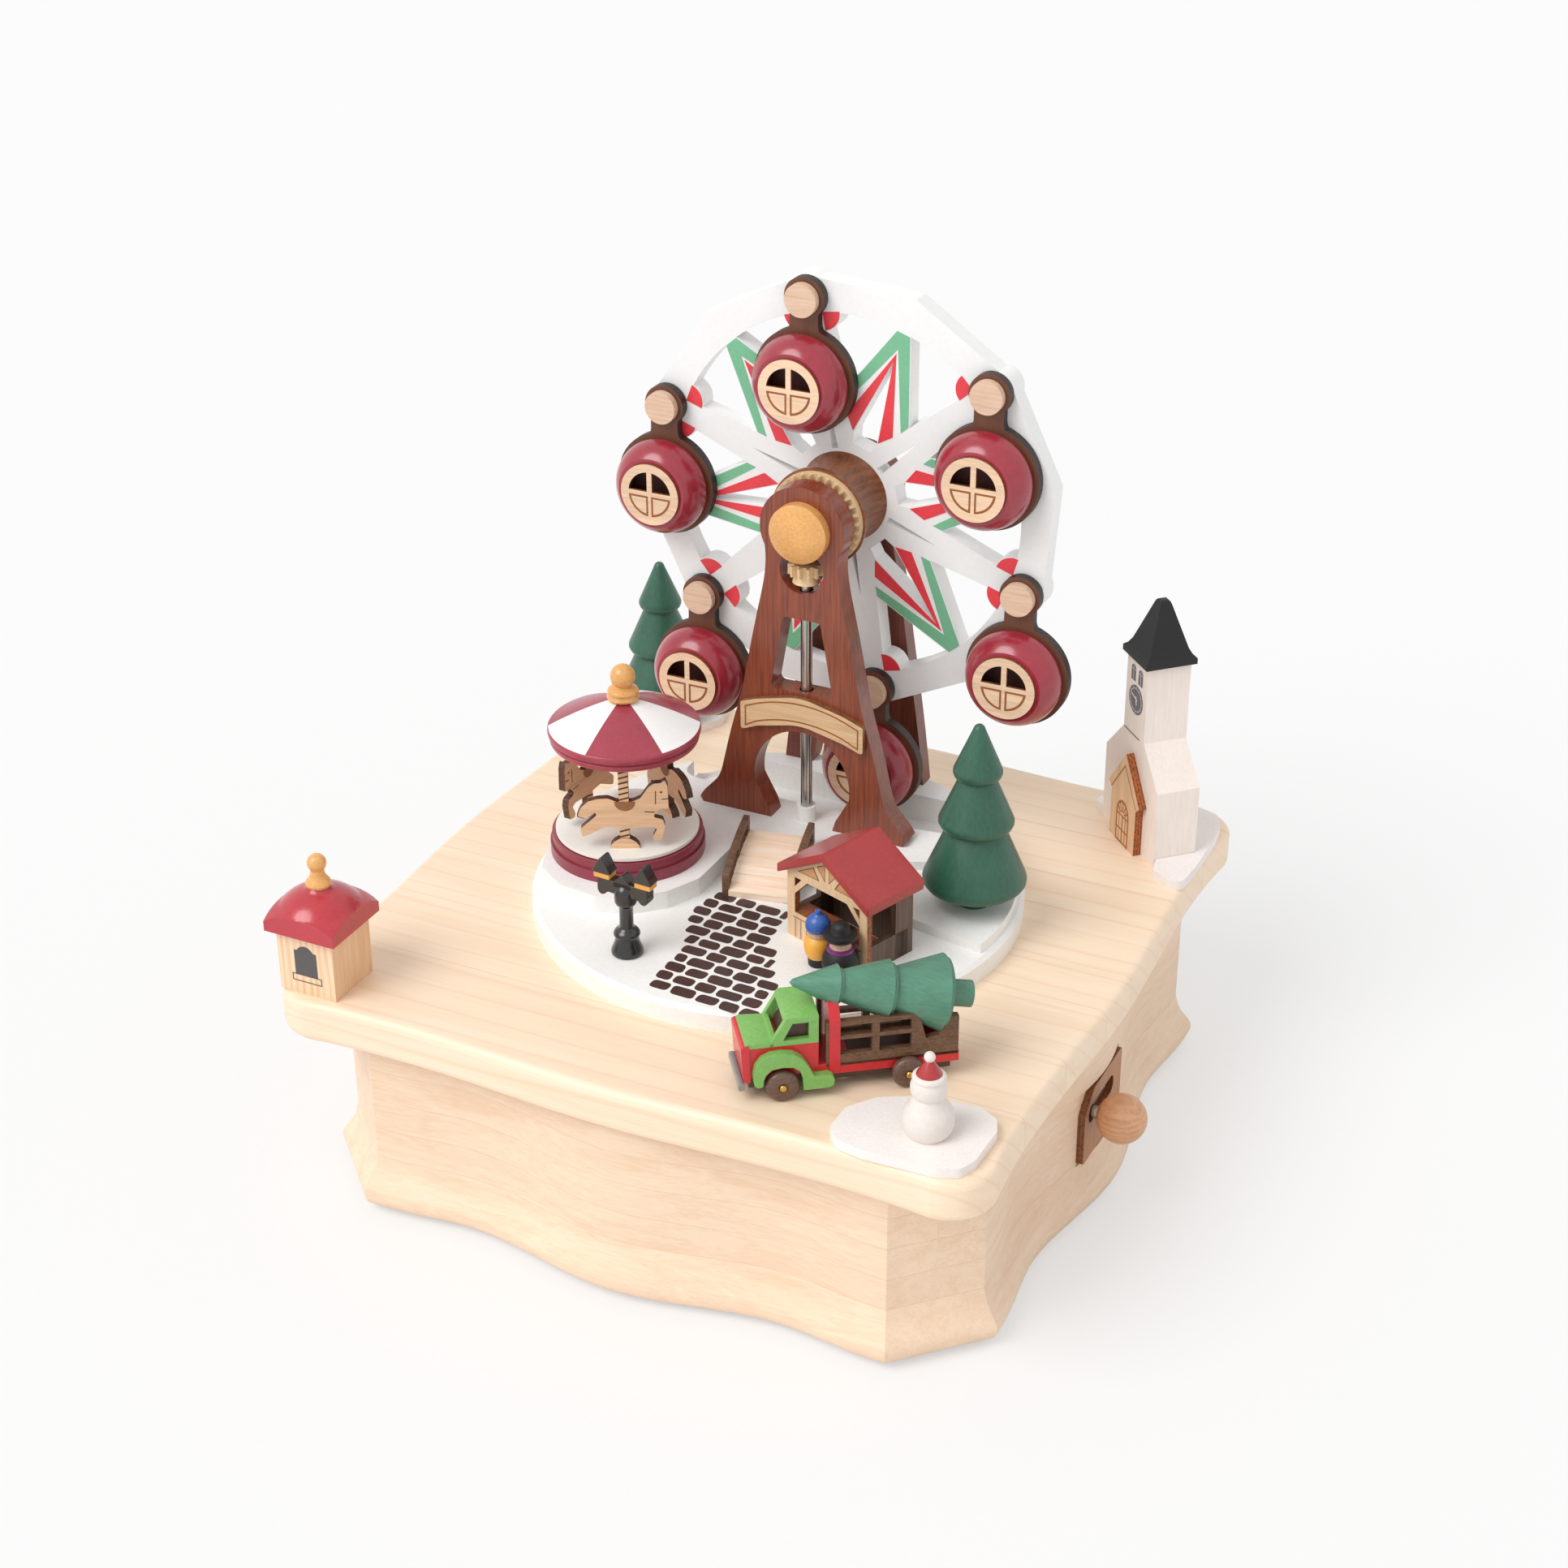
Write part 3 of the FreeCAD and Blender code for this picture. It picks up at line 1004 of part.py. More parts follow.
for i in range(3):
    angle = -64 + 120 * i
    body_form = slab(HORSE, S.horse_thick, 0, "xz", -float(S.horse_thick) / 2)
    pole = Part.makeCylinder(float(S.pole_radius), pole_long)
    foot_form = slab([(-4.3, 0), (4.3, 0), (3.2, 2.2, 1), (0, 3.4, 3), (-3.2, 2.2, 1)], S.horse_thick,
                     0, "xz", -float(S.horse_thick) / 2)
    rider = body_form.fuse([pole, foot_form]).removeSplitter()
    rider.rotate(vec(0, 0, 0), ABOUT_Z, angle + 90)
    rider.translate(vec(S.horse_circle * cosine(angle), S.horse_circle * sine(angle), 0))
    mounts.append(rider)
node("carousel_horses", shaped(Part.makeCompound(mounts), (cx, cy, disc_top)))

# Street lamp

lamp = revolved([(0, 0), (4.6, 0), (4.6, 1.4), (3.9, 2.8), (3.3, 5.2), (3.2, 5.8), (3.8, 6.6), (3.7, 7.2),
                 (2.0, 8.2), (1.9, 17.4), (2.9, 18.6), (2.9, 22.0), (2.4, 22.9), (0, 23.3)])
arms = slab([(-8.4, 22), (-8.4, 18.2, 0.8), (-7.6, 16.6, 0.8), (-6.0, 16.4, 0.8), (-4.6, 18.4, 0.6),
             (0, 18.6), (4.6, 18.4, 0.6), (6.0, 16.4, 0.8), (7.6, 16.6, 0.8), (8.4, 18.2, 0.8),
             (8.4, 22), (9.0, 22), (9.0, 24.2), (9.5, 24.3), (6.7, 29.8), (3.9, 24.3), (4.4, 24.2),
             (4.4, 22), (2.2, 22), (0, 25.4), (-2.2, 22), (-4.4, 22), (-4.4, 24.2), (-3.9, 24.3),
             (-6.7, 29.8), (-9.5, 24.3), (-9.0, 24.2), (-9.0, 22)], 3.6, 0, "xz", -1.8)
arms.rotate(vec(0, 0, 0), ABOUT_Z, float(S.lamp_turn))
lamp = lamp.fuse(arms)
node("street_lamp", shaped(lamp.removeSplitter(), (S.lamp_x, S.lamp_y, island_top)))

# Stall with an open timber front

sw = float(S.stall_width)
sd = float(S.stall_depth)
eave = float(S.stall_eave)
ridge = float(S.stall_ridge)
wall_t = float(S.stall_wall)
gable = [(-sw / 2, 0), (sw / 2, 0), (sw / 2, eave), (0, ridge), (-sw / 2, eave)]
front_hole = [(-sw / 2 + 3, 8.5), (sw / 2 - 3, 8.5), (sw / 2 - 3, 14.6), (7.8, 19.8), (-7.8, 19.8),
              (-sw / 2 + 3, 14.6)]
corner_holes = [[(side * 12.7, 19.9), (side * 10.1, 19.9), (side * 12.7, 16.9)] for side in (-1, 1)]
front_wall = slab(gable, wall_t, 0, "xz", -sd / 2, [front_hole] + corner_holes)
back_wall = slab(gable, wall_t, 0, "xz", sd / 2 - wall_t)
side_outline = [(-sd / 2 + wall_t, 0), (sd / 2 - wall_t, 0), (sd / 2 - wall_t, eave),
                (sd / 2 - 7, eave), (sd / 2 - 7, 8.5), (-sd / 2 + wall_t, 8.5)]
sides = [slab(side_outline, wall_t, 0, "yz", x) for x in (-sw / 2, sw / 2 - wall_t)]
counter = Part.makeBox(sw - 2 * wall_t, 4.0, 1.2, vec(-sw / 2 + wall_t, -sd / 2 + wall_t, 7.3))
stall = front_wall.fuse([back_wall, counter] + sides)
turn_stall = turned(S.stall_turn)
node("stall_house", shaped(stall.removeSplitter(), (S.stall_x, S.stall_y + 7.2, island_top), turn_stall))
over = float(S.roof_over)
slope = (ridge - eave) / (sw / 2)
drop = slope * over
rt = float(S.roof_thick)
roof_profile = [(-sw / 2 - over, eave - drop), (0, ridge), (sw / 2 + over, eave - drop),
                (sw / 2 + over, eave - drop + rt), (0, ridge + rt),
                (-sw / 2 - over, eave - drop + rt)]
node("stall_roof", shaped(slab(roof_profile, sd + 2 * over, 0, "xz", -sd / 2 - over),
                          (S.stall_x, S.stall_y + 7.2, island_top), turn_stall))

# Two turned figures


def figure(hat):
    body = revolved([(0, 0), (3.3, 0), (3.5, 1.4), (4.2, 4.0), (3.2, 8.0), (2.0, 9.3), (0, 9.3)])
    head = Part.makeSphere(3.1, vec(0, 0, 11.2))
    return body.fuse([head, hat]).removeSplitter()


knit = revolved([(0, 11.4), (3.5, 11.4), (3.7, 12.4), (2.6, 15.2), (1.0, 16.2), (1.0, 17.2),
                 (0, 17.6)])
brim = revolved([(0, 12.6), (4.3, 12.6), (4.5, 13.4), (3.1, 14.2), (3.0, 16.2), (2.0, 17.4),
                 (0, 17.5)])
node("figures", group("figures", shaped(figure(knit), (30.2, -36.9, island_top)),
                      shaped(figure(brim), (38.6, -40.0, island_top))))

# Trees, turned in three tiers


def tree(tip_z, tiers, trunk, trunk_low):
    """A turned tree: each tier has a rounded lower edge and runs up under the next one."""
    points = [(0, trunk_low), (trunk, trunk_low), (trunk, tiers[-1][0])]
    arcs = []
    for i in range(len(tiers) - 1, -1, -1):
        level, radius = tiers[i]
        upper_level, upper_radius = tiers[i - 1] if i else (tip_z - 0.9, 1.35)
        points.append((radius - 1.0, level))
        arcs.append((len(points) - 1, -0.4))
        points.append((radius, level + 1.2))
        points.append((upper_radius * 0.74, upper_level))
    points += [(0, tip_z)]
    return revolved(points, arcs)


right_tree = tree(57.6, [(43.0, 7.6), (26.2, 11.6), (6.2, 15.0)], 5.5, 0.0)
left_tree = tree(55.2, [(41.0, 7.6), (25.2, 11.2), (6.6, 14.6)], 5.5, 0.0)
snow_top = top + S.snow_thick
node("trees", group("trees", shaped(right_tree, (58.5, 9.0, step_top)),
                    shaped(left_tree, (-85.0, 87.0, snow_top))))

# Snow plates at three corners

front_plate = [(64, -102), (68, -106), (76, -107.2), (96, -106.4), (101.5, -104), (103.5, -99),
               (103.8, -85), (101.8, -80), (96.4, -77), (81, -78), (69.6, -84.4), (64, -92)]
church_plate = [(65, 93), (70.4, 90.6), (94.9, 65.6), (96, 59), (102.6, 55), (106.4, 56), (107.2, 66),
                (107, 86), (106, 94), (103, 100), (97, 102), (68, 100)]
tree_plate = [(-101, 103), (-104, 96), (-103, 80), (-97, 73), (-84, 72), (-72, 80), (-66, 92),
              (-68, 102), (-76, 105)]
plates = [slab(outline, S.snow_thick, 3, "xy") for outline in (front_plate, church_plate, tree_plate)]
cl = float(S.church_long)
cw = float(S.church_wide)
stand = Part.makeBox(cl + 0.2, cw + 0.2, 9.0, vec(-cl / 2 - 0.1, -cw / 2 - 0.1, -3.0))
stand.Placement = FreeCAD.Placement(vec(S.church_x, S.church_y, 0), turned(S.church_turn))
plates[1] = plates[1].cut(stand)
node("corner_plates", shaped(Part.makeCompound(plates), (0, 0, top)))

# Snowman

head_high = float(S.snowman_seat) + float(S.snowman_neck)
snowman = joined("snowman_form",
                 ball(S.snowman_body, (0, 0, S.snowman_seat)),
                 ball(S.snowman_head, (0, 0, head_high)),
                 cone(4.3, 4.2, 1.4, (0, 0, head_high + 2.4)),
                 cone(3.5, 0.9, 4.6, (0, 0, head_high + 3.4)),
                 ball(1.5, (0, 0, head_high + 8.9)))
flat_cut = block(30, 30, 10, (-15, -15, -10))
node("snowman", place(carved("snowman", snowman, flat_cut), (S.snowman_x, S.snowman_y, snow_top)))

# Church: one block with sloping shoulders, a tower with a flared spire, a gabled door piece

eave = float(S.eave_height)
half_tower = float(S.tower_side) / 2
church = slab([(-cl / 2, 0), (cl / 2, 0), (cl / 2, eave), (half_tower, S.shoulder_height),
               (half_tower, S.tower_wall), (-half_tower, S.tower_wall),
               (-half_tower, S.shoulder_height), (-cl / 2, eave)], cw, 0, "xz", -cw / 2)


def square(half, level, centre=0.0):
    return rounded([(centre - half, -half), (centre + half, -half), (centre + half, half),
                    (centre - half, half)], 0, "xy", level)


brow = float(S.tower_brow)
brow_low = float(S.tower_wall)
brow_top = brow_low + float(S.brow_thick)
tip = float(S.tower_tip)
eaves = Part.makeLoft([square(brow, brow_low), square(brow, brow_top)], True, True)
spire = Part.makeLoft([square(brow, brow_top), square(brow - 2.3, brow_top + 3.0),
                       square(1.9, tip - 1.0), square(1.2, tip)], True, True)
half_door = float(S.door_wide) / 2
door_eave = float(S.door_eave)
door = slab([(-half_door, 0), (half_door, 0), (half_door, door_eave), (half_door + 2.2, door_eave + 1.8),
             (0, S.door_apex), (-half_door - 2.2, door_eave + 1.8), (-half_door, door_eave)],
            float(S.door_thick) + 1.0, 0, "xz", -cw / 2 - float(S.door_thick))
church = church.fuse([eaves, spire, door])
node("church", shaped(church.removeSplitter(), (S.church_x, S.church_y, top),
                      turned(S.church_turn)))

# Ticket booth

bs = float(S.booth_side)
booth = Part.makeBox(bs, bs, float(S.booth_height), vec(-bs / 2, -bs / 2, 0))
br = float(S.booth_roof) / 2
bh = float(S.booth_height)
tip_high = float(S.booth_rise)
dome = revolved([(0, 0), (br * 1.5, 0), (br * 1.5, 1.6), (br, 6.0), (5.2, 10.2), (3.0, tip_high),
                 (0, tip_high)], ((2, -0.7), (3, -0.5), (4, 0.3)))
dome = dome.common(Part.makeBox(2 * br, 2 * br, tip_high + 2, vec(-br, -br, -1)))
knob = revolved([(0, 0), (3.4, 0), (3.7, 1.2), (2.5, 2.9), (2.0, 4.6), (2.0, 5.4), (0, 5.4)])
knob = knob.fuse(Part.makeSphere(2.75, vec(0, 0, 7.2)))
knob.translate(vec(0, 0, tip_high - 0.3))
dome = dome.fuse(knob)
dome.translate(vec(0, 0, bh))
booth = booth.fuse(dome)
node("booth", shaped(booth.removeSplitter(), (S.booth_x, S.booth_y, top)))

# Truck, drawn with its nose along +X, then set on its circle

tyre = float(S.tyre_radius)
th = float(S.truck_half)
half_base = float(S.wheel_base) / 2
track = float(S.half_track)
bed_low = float(S.bed_low)
bed_top = float(S.bed_top)
panel = float(S.panel_thick)
chassis = Part.makeBox(54.5, 12.0, 4.0, vec(-29.0, -6.0, 3.0))
bed = Part.makeBox(38.0, 2 * th, bed_top - bed_low, vec(-31.0, -th, bed_low))
engine = slab([(7.0, 6.4), (25.8, 6.4), (26.2, 16.2), (7.0, 16.2)], 2 * th, 0, "xz", -th)
hood = slab([(19.0, 15.8), (26.8, 15.8, 0.6), (26.6, 17.4, 1.0), (19.0, 17.0)], 2 * th + 0.4, 0, "xz",
            -th - 0.2)
cab = slab([(7.0, 15.8), (20.4, 15.8), (15.4, 24.4, 0.8), (7.0, 24.4)], 2 * th + 0.4, 0, "xz",
           -th - 0.2)
side_light = slab([(9.6, 17.4), (16.6, 17.4), (14.1, 22.5), (9.6, 22.5)], 30, 0, "xz", -15)
screen = Part.makeBox(13.0, 2 * th - 3.4, 5.3, vec(9.6, 1.7 - th, 17.4))
cab = cab.cut([side_light, screen])
nose = slab([(25.2, 5.6), (27.2, 5.6, 0.5), (27.8, 16.6, 1.0), (25.6, 17.2)], 2 * th + 1.0, 0, "xz",
            -th - 0.5)
bumper = Part.makeBox(2.4, 2 * th + 1.8, 2.6, vec(26.6, -th - 0.9, 3.4))
head_board = slab([(-7.5, bed_low + 1), (7.5, bed_low + 1), (7.5, 22.2), (4.6, 26.2), (-4.6, 26.2),
                   (-7.5, 22.2)], 3.0, 0, "yz", 4.2)
tail_board = Part.makeBox(1.8, 2 * th - 1.0, 9.0, vec(-30.6, 0.5 - th, bed_top - 0.5))
body_parts = [bed, engine, hood, cab, nose, bumper, head_board, tail_board]
rail_side = [(5.0, bed_top - 1.0), (-30.8, bed_top - 1.0), (-30.8, 19.5), (-27.2, 19.9), (-25.4, 14.3),
             (-22.0, 13.4), (-20.0, 21.4), (5.0, 21.4)]
fender = [(22.0, 5.2), (24.6, 5.6, 1.2), (24.9, 10.5, 3.0), (21.5, 14.9, 4.0), (13.6, 14.9, 4.5),
          (9.4, 8.6, 2.0), (8.6, 6.8, 0.8), (3.0, 6.8, 1.9), (3.0, 2.8, 1.9), (11.6, 2.8),
          (11.6, 8.0, 2.0), (13.8, 10.6, 1.4), (20.4, 10.6, 1.4), (22.0, 8.0, 1.2)]
for sign in (-1, 1):
    low_y = th - panel if sign > 0 else -th
    rail = slab(rail_side, panel, 0, "xz", low_y)
    for left, right, low, high in ((-7.4, 1.6, 11.2, 15.8), (-18.0, -9.4, 11.2, 15.7),
                                   (-7.4, 1.6, 17.0, 20.1), (-18.0, -9.4, 17.0, 20.1)):
        rail = rail.cut(Part.makeBox(right - left, panel + 2, high - low, vec(left, low_y - 1, low)))
    body_parts.append(rail)
    reach = float(S.fender_reach)
    body_parts.append(slab(fender, reach + 0.4, 0, "xz", th - 0.4 if sign > 0 else -th - reach))
body_parts.append(Part.makeCylinder(4.0, 3.4, vec(0, 0, 1.0)))
truck = chassis.fuse(body_parts)
for x in (-half_base, half_base):
    truck = truck.cut(Part.makeCylinder(1.05, 40, vec(x, -20, tyre), FreeCAD.Vector(0, 1, 0)))
truck_spot = (S.truck_circle * cosine(S.truck_angle), S.truck_circle * sine(S.truck_angle),
              top + S.truck_lift)
truck_turn = turned(S.truck_heading)
node("truck_body", shaped(truck.removeSplitter(), truck_spot, truck_turn))
cargo = tree(50.0, [(36.2, 5.7), (22.1, 7.9), (7.3, 10.4)], 3.65, 0.0)
cargo.rotate(vec(0, 0, 0), FreeCAD.Vector(0, 1, 0), 90 - float(S.load_tilt))
cargo.translate(vec(-35.6, 0, 21.3))
slim = cargo.cut(truck)
node("truck_tree", shaped(slim, truck_spot, truck_turn))


def axle_pair(x):
    axle = Part.makeCylinder(1.0, 2 * track + 0.8, vec(x, -track - 0.4, tyre), y_way)
    wheels = [Part.makeCylinder(tyre, float(S.tyre_wide),
                                vec(x, sign * track - float(S.tyre_wide) / 2, tyre), y_way)
              for sign in (-1, 1)]
    return axle.fuse(wheels).removeSplitter()


node("truck_front_wheels", shaped(axle_pair(half_base), truck_spot, truck_turn))
node("truck_rear_wheels", shaped(axle_pair(-half_base), truck_spot, truck_turn))

# Checks and files

doc.recompute()
problems = []
for item in doc.Objects:
    if "Invalid" in item.State or "Error" in item.State:
        problems.append("%s is %s" % (item.Label, item.State))
for item in NODES:
    shape = item.Shape
    if shape.isNull() or not shape.isValid():
        problems.append("%s has no valid shape" % item.Label)
if problems:
    raise RuntimeError("; ".join(problems))
if len(set(item.Label for item in NODES)) != len(NODES):
    raise RuntimeError("two sub-parts share a label")

os.makedirs("parts", exist_ok=True)
for item in NODES:
    item.Shape.exportStep("parts/%s.step" % item.Label)
    box = item.Shape.BoundBox
    print("%-20s %2d solids  z %7.2f %7.2f  vol %.0f" % (
        item.Label, len(item.Shape.Solids), box.ZMin, box.ZMax, item.Shape.Volume))
print(len(NODES), "sub-parts")
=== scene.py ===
import json
import math

import bmesh
import bpy
from mathutils import Matrix, Vector

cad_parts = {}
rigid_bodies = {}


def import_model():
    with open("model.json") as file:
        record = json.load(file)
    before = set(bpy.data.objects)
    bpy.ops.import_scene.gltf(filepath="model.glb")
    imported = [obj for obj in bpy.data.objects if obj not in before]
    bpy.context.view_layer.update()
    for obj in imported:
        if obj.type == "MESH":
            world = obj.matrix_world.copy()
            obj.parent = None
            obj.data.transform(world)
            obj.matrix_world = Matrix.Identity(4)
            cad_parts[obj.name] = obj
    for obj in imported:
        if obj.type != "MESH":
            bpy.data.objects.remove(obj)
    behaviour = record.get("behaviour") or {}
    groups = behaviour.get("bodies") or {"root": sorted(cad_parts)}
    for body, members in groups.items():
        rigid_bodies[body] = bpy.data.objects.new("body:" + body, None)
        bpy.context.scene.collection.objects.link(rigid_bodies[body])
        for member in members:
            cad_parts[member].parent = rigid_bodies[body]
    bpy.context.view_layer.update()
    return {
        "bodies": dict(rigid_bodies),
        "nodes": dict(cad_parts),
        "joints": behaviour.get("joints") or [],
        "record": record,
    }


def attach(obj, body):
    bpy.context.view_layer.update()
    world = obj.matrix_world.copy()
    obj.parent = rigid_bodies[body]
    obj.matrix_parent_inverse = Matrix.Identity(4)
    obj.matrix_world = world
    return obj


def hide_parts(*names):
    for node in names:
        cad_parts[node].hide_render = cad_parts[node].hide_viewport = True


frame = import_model()
nodes = frame["nodes"]
print("frame loaded:", len(nodes), "nodes")

mm = 0.001  # every size below is in millimetres


def tint(red, green, blue):  # colour as it is read off a paint chart, 0 to 255, made linear for the shader
    linear = [((c / 255 + 0.055) / 1.055) ** 2.4 if c > 10 else c / 3294 for c in (red, green, blue)]
    return (*linear, 1.0)


def shade(colour, share):  # the same colour, darker
    return tint(*(c * share for c in colour))


def newFinish(name, rough=0.5, coat=0.0, coatRough=0.15, metal=0.0, specular=0.5):
    finish = bpy.data.materials.new(name)
    finish.use_nodes = True
    shader = finish.node_tree.nodes["Principled BSDF"]
    shader.inputs["Roughness"].default_value = rough
    shader.inputs["Metallic"].default_value = metal
    shader.inputs["Specular IOR Level"].default_value = specular
    shader.inputs["Coat Weight"].default_value = coat
    shader.inputs["Coat Roughness"].default_value = coatRough
    return finish, shader


def addNode(finish, kind, inputs=None, **settings):
    node = finish.node_tree.nodes.new("ShaderNode" + kind)
    for key, value in settings.items():
        setattr(node, key, value)
    for key, value in (inputs or {}).items():
        if isinstance(value, bpy.types.NodeSocket):
            finish.node_tree.links.new(value, node.inputs[key])
        else:
            node.inputs[key].default_value = value
    return node


def join(finish, source, target):
    finish.node_tree.links.new(source, target)


def calc(finish, operation, *values):
    return addNode(finish, "Math", dict(enumerate(values)), operation=operation).outputs[0]


def spread(finish, socket, size, stretch=(1, 1, 1), turn=(0, 0, 0)):
    # coordinates for a pattern whose features are about size mm, stretched per axis
    scale = tuple(1 / (size * mm * s) for s in stretch)
    turned = addNode(finish, "Mapping", {"Vector": socket, "Rotation": turn})
    return addNode(finish, "Mapping", {"Vector": turned.outputs[0], "Scale": scale}).outputs[0]


def noise(finish, vector, detail=2.0, rough=0.5, distort=0.0):
    return addNode(finish, "TexNoise", {"Vector": vector, "Scale": 1.0, "Detail": detail, "Roughness": rough,
                                        "Distortion": distort}).outputs["Fac"]


def ramp(finish, factor, stops):
    node = addNode(finish, "ValToRGB", {"Fac": factor})
    while len(node.color_ramp.elements) < len(stops):
        node.color_ramp.elements.new(0.5)
    for element, (position, colour) in zip(node.color_ramp.elements, stops):
        element.position = position
        element.color = colour
    return node.outputs["Color"]


def mix(finish, factor, first, second, blend="MIX"):
    node = addNode(finish, "Mix", data_type="RGBA", blend_type=blend)
    for socket, value in ((node.inputs[0], factor), (node.inputs[6], first), (node.inputs[7], second)):
        if isinstance(value, bpy.types.NodeSocket):
            join(finish, value, socket)
        else:
            socket.default_value = value
    return node.outputs[2]


def alongAxis(finish, vector, axis):
    return addNode(finish, "VectorMath", {0: vector, 1: axis}, operation="DOT_PRODUCT").outputs["Value"]


def glueLines(finish, depth, spots, wide):  # which board a point is in, and whether a glue line is there
    layer = 0.0
    seam = 0.0
    for spot in spots:
        layer = calc(finish, "ADD", calc(finish, "GREATER_THAN", depth, spot * mm), layer)
        near = calc(finish, "COMPARE", depth, spot * mm, wide * mm)
        seam = calc(finish, "MAXIMUM", near, seam)
    return layer, seam


def bumped(finish, shader, height, strength=0.3, depth=0.1):
    bump = addNode(finish, "Bump", {"Height": height, "Strength": strength, "Distance": depth * mm})
    join(finish, bump.outputs[0], shader.inputs["Normal"])


grainTurn = {"x": (1, 0, 0), "y": (0, 1, 0), "z": (0, 0, 1)}


def longGrain(along, long):  # how far a pattern is drawn out along the grain
    return tuple(long if axis else 1 for axis in grainTurn[along])


woodGrain = {"arcs": 2.2, "fibre": 0.55, "fibreLong": 30, "stops": (0.28, 0.62)}


def wood(name, pale, dark, along="x", figure=9.0, long=14.0, rings=0.35, fibre=0.5, rough=0.5, coat=0.0,
         grainDepth=0.06, turn=(0, 0, 0)):
    # broad figure, wavy growth lines and fine fibres, all stretched along the grain
    g = woodGrain
    finish, shader = newFinish(name, rough, coat)
    where = addNode(finish, "TexCoord").outputs["Object"]
    stretch = longGrain(along, long)
    broad = noise(finish, spread(finish, where, figure, stretch, turn), 3.0, 0.5, 0.6)
    lines = addNode(finish, "TexWave", {"Vector": spread(finish, where, figure * g["arcs"], stretch, turn),
                                        "Scale": 1.0, "Distortion": 5.0, "Detail": 2.0, "Detail Scale": 1.2},
                    wave_type="BANDS", bands_direction="Z" if along != "z" else "X").outputs["Fac"]
    fine = noise(finish, spread(finish, where, g["fibre"], longGrain(along, g["fibreLong"]), turn), 2.0, 0.6)
    tone = calc(finish, "MULTIPLY_ADD", lines, rings, calc(finish, "MULTIPLY", broad, 1 - rings))
    tone = calc(finish, "MULTIPLY_ADD", fine, fibre, calc(finish, "MULTIPLY", tone, 1 - fibre))
    colour = ramp(finish, tone, list(zip(g["stops"], (tint(*dark), tint(*pale)))))
    join(finish, colour, shader.inputs["Base Color"])
    bumped(finish, shader, fine, 0.35, grainDepth)
    return finish


paintCoat = {"cloud": 14.0, "fleckShare": 0.6, "grainLong": 12}


def paint(name, colour, rough=0.4, coat=0.0, speck=0.05, bump=0.05, size=1.2, along=None):
    # brushed or sprayed colour over wood: slight mottling, faint grain showing through
    finish, shader = newFinish(name, rough, coat)
    where = addNode(finish, "TexCoord").outputs["Object"]
    stretch = longGrain(along, paintCoat["grainLong"]) if along else (1, 1, 1)
    fleck = noise(finish, spread(finish, where, size, stretch), 3.0, 0.6)
    cloud = noise(finish, spread(finish, where, paintCoat["cloud"]), 2.0)
    share = paintCoat["fleckShare"]
    both = calc(finish, "MULTIPLY_ADD", fleck, share, calc(finish, "MULTIPLY", cloud, 1 - share))
    low = tint(*(max(0, c * (1 - speck)) for c in colour))
    high = tint(*(min(255, c * (1 + speck)) for c in colour))
    join(finish, ramp(finish, both, [(0.35, low), (0.65, high)]), shader.inputs["Base Color"])
    bumped(finish, shader, fleck, 0.4, bump)
    return finish


ply = {"layer": 0.9, "fibre": 0.7, "figure": 7.0, "long": 14, "shade": 0.86, "scorch": 0.8, "burnt": 0.6}


def cutPly(name, face, edge, axis=(0, 1, 0), grain="x", rough=0.55, turn=0.0, coat=0.0):
    # laser-cut plywood: pale grained faces, burnt cut edges with the plies showing
    finish, shader = newFinish(name, rough, coat)
    coords = addNode(finish, "TexCoord")
    where = spread(finish, coords.outputs["Object"], 1.0 / mm, turn=(0, 0, -turn))
    way = Matrix.Rotation(turn, 3, "Z") @ Vector(axis)
    facing = alongAxis(finish, coords.outputs["Normal"], way)
    flat = calc(finish, "SMOOTH_MIN", 1.0, calc(finish, "ABSOLUTE", facing), 0.0)
    cut = calc(finish, "SUBTRACT", 1.0, flat)
    cut = addNode(finish, "MapRange", {"Value": cut, 1: 0.15, 2: 0.5}).outputs[0]
    stretch = longGrain(grain, ply["long"])
    fibres = noise(finish, spread(finish, where, ply["fibre"], stretch), 3.0, 0.6)
    broad = noise(finish, spread(finish, where, ply["figure"], stretch), 2.0, 0.5, 0.5)
    tone = calc(finish, "MULTIPLY_ADD", fibres, 0.5, calc(finish, "MULTIPLY", broad, 0.5))
    pale = ramp(finish, tone, [(0.32, shade(face, ply["shade"])), (0.6, tint(*face))])
    plies = alongAxis(finish, where, axis)
    stripe = calc(finish, "SINE", calc(finish, "MULTIPLY", plies, 2 * math.pi / (ply["layer"] * mm)))
    speckle = noise(finish, spread(finish, where, ply["scorch"]), 2.0)
    scorch = calc(finish, "MULTIPLY_ADD", stripe, 0.12, speckle)
    burnt = ramp(finish, scorch, [(0.3, shade(edge, ply["burnt"])), (0.62, tint(*edge))])
    join(finish, mix(finish, cut, pale, burnt), shader.inputs["Base Color"])
    bumped(finish, shader, fibres, 0.3, 0.05)
    return finish


plateBoards = {"seams": (-72.0, -43.0, -15.5, 4.4, 31.0, 49.0, 76.0), "seamWide": 0.22, "shift": (0.37, 0.21),
               "figure": (8.0, 16), "arcs": (30.0, 7), "fibre": (0.6, 26), "pale": (250, 227, 200),
               "shaded": (243, 214, 183), "ring": (216, 158, 118), "warm": (240, 206, 170),
               "glue": (196, 148, 106)}


def runOf(finish, vector, pattern):  # a pattern's size and how far it is drawn out along the board
    return spread(finish, vector, pattern[0], (pattern[1], 1, 1))


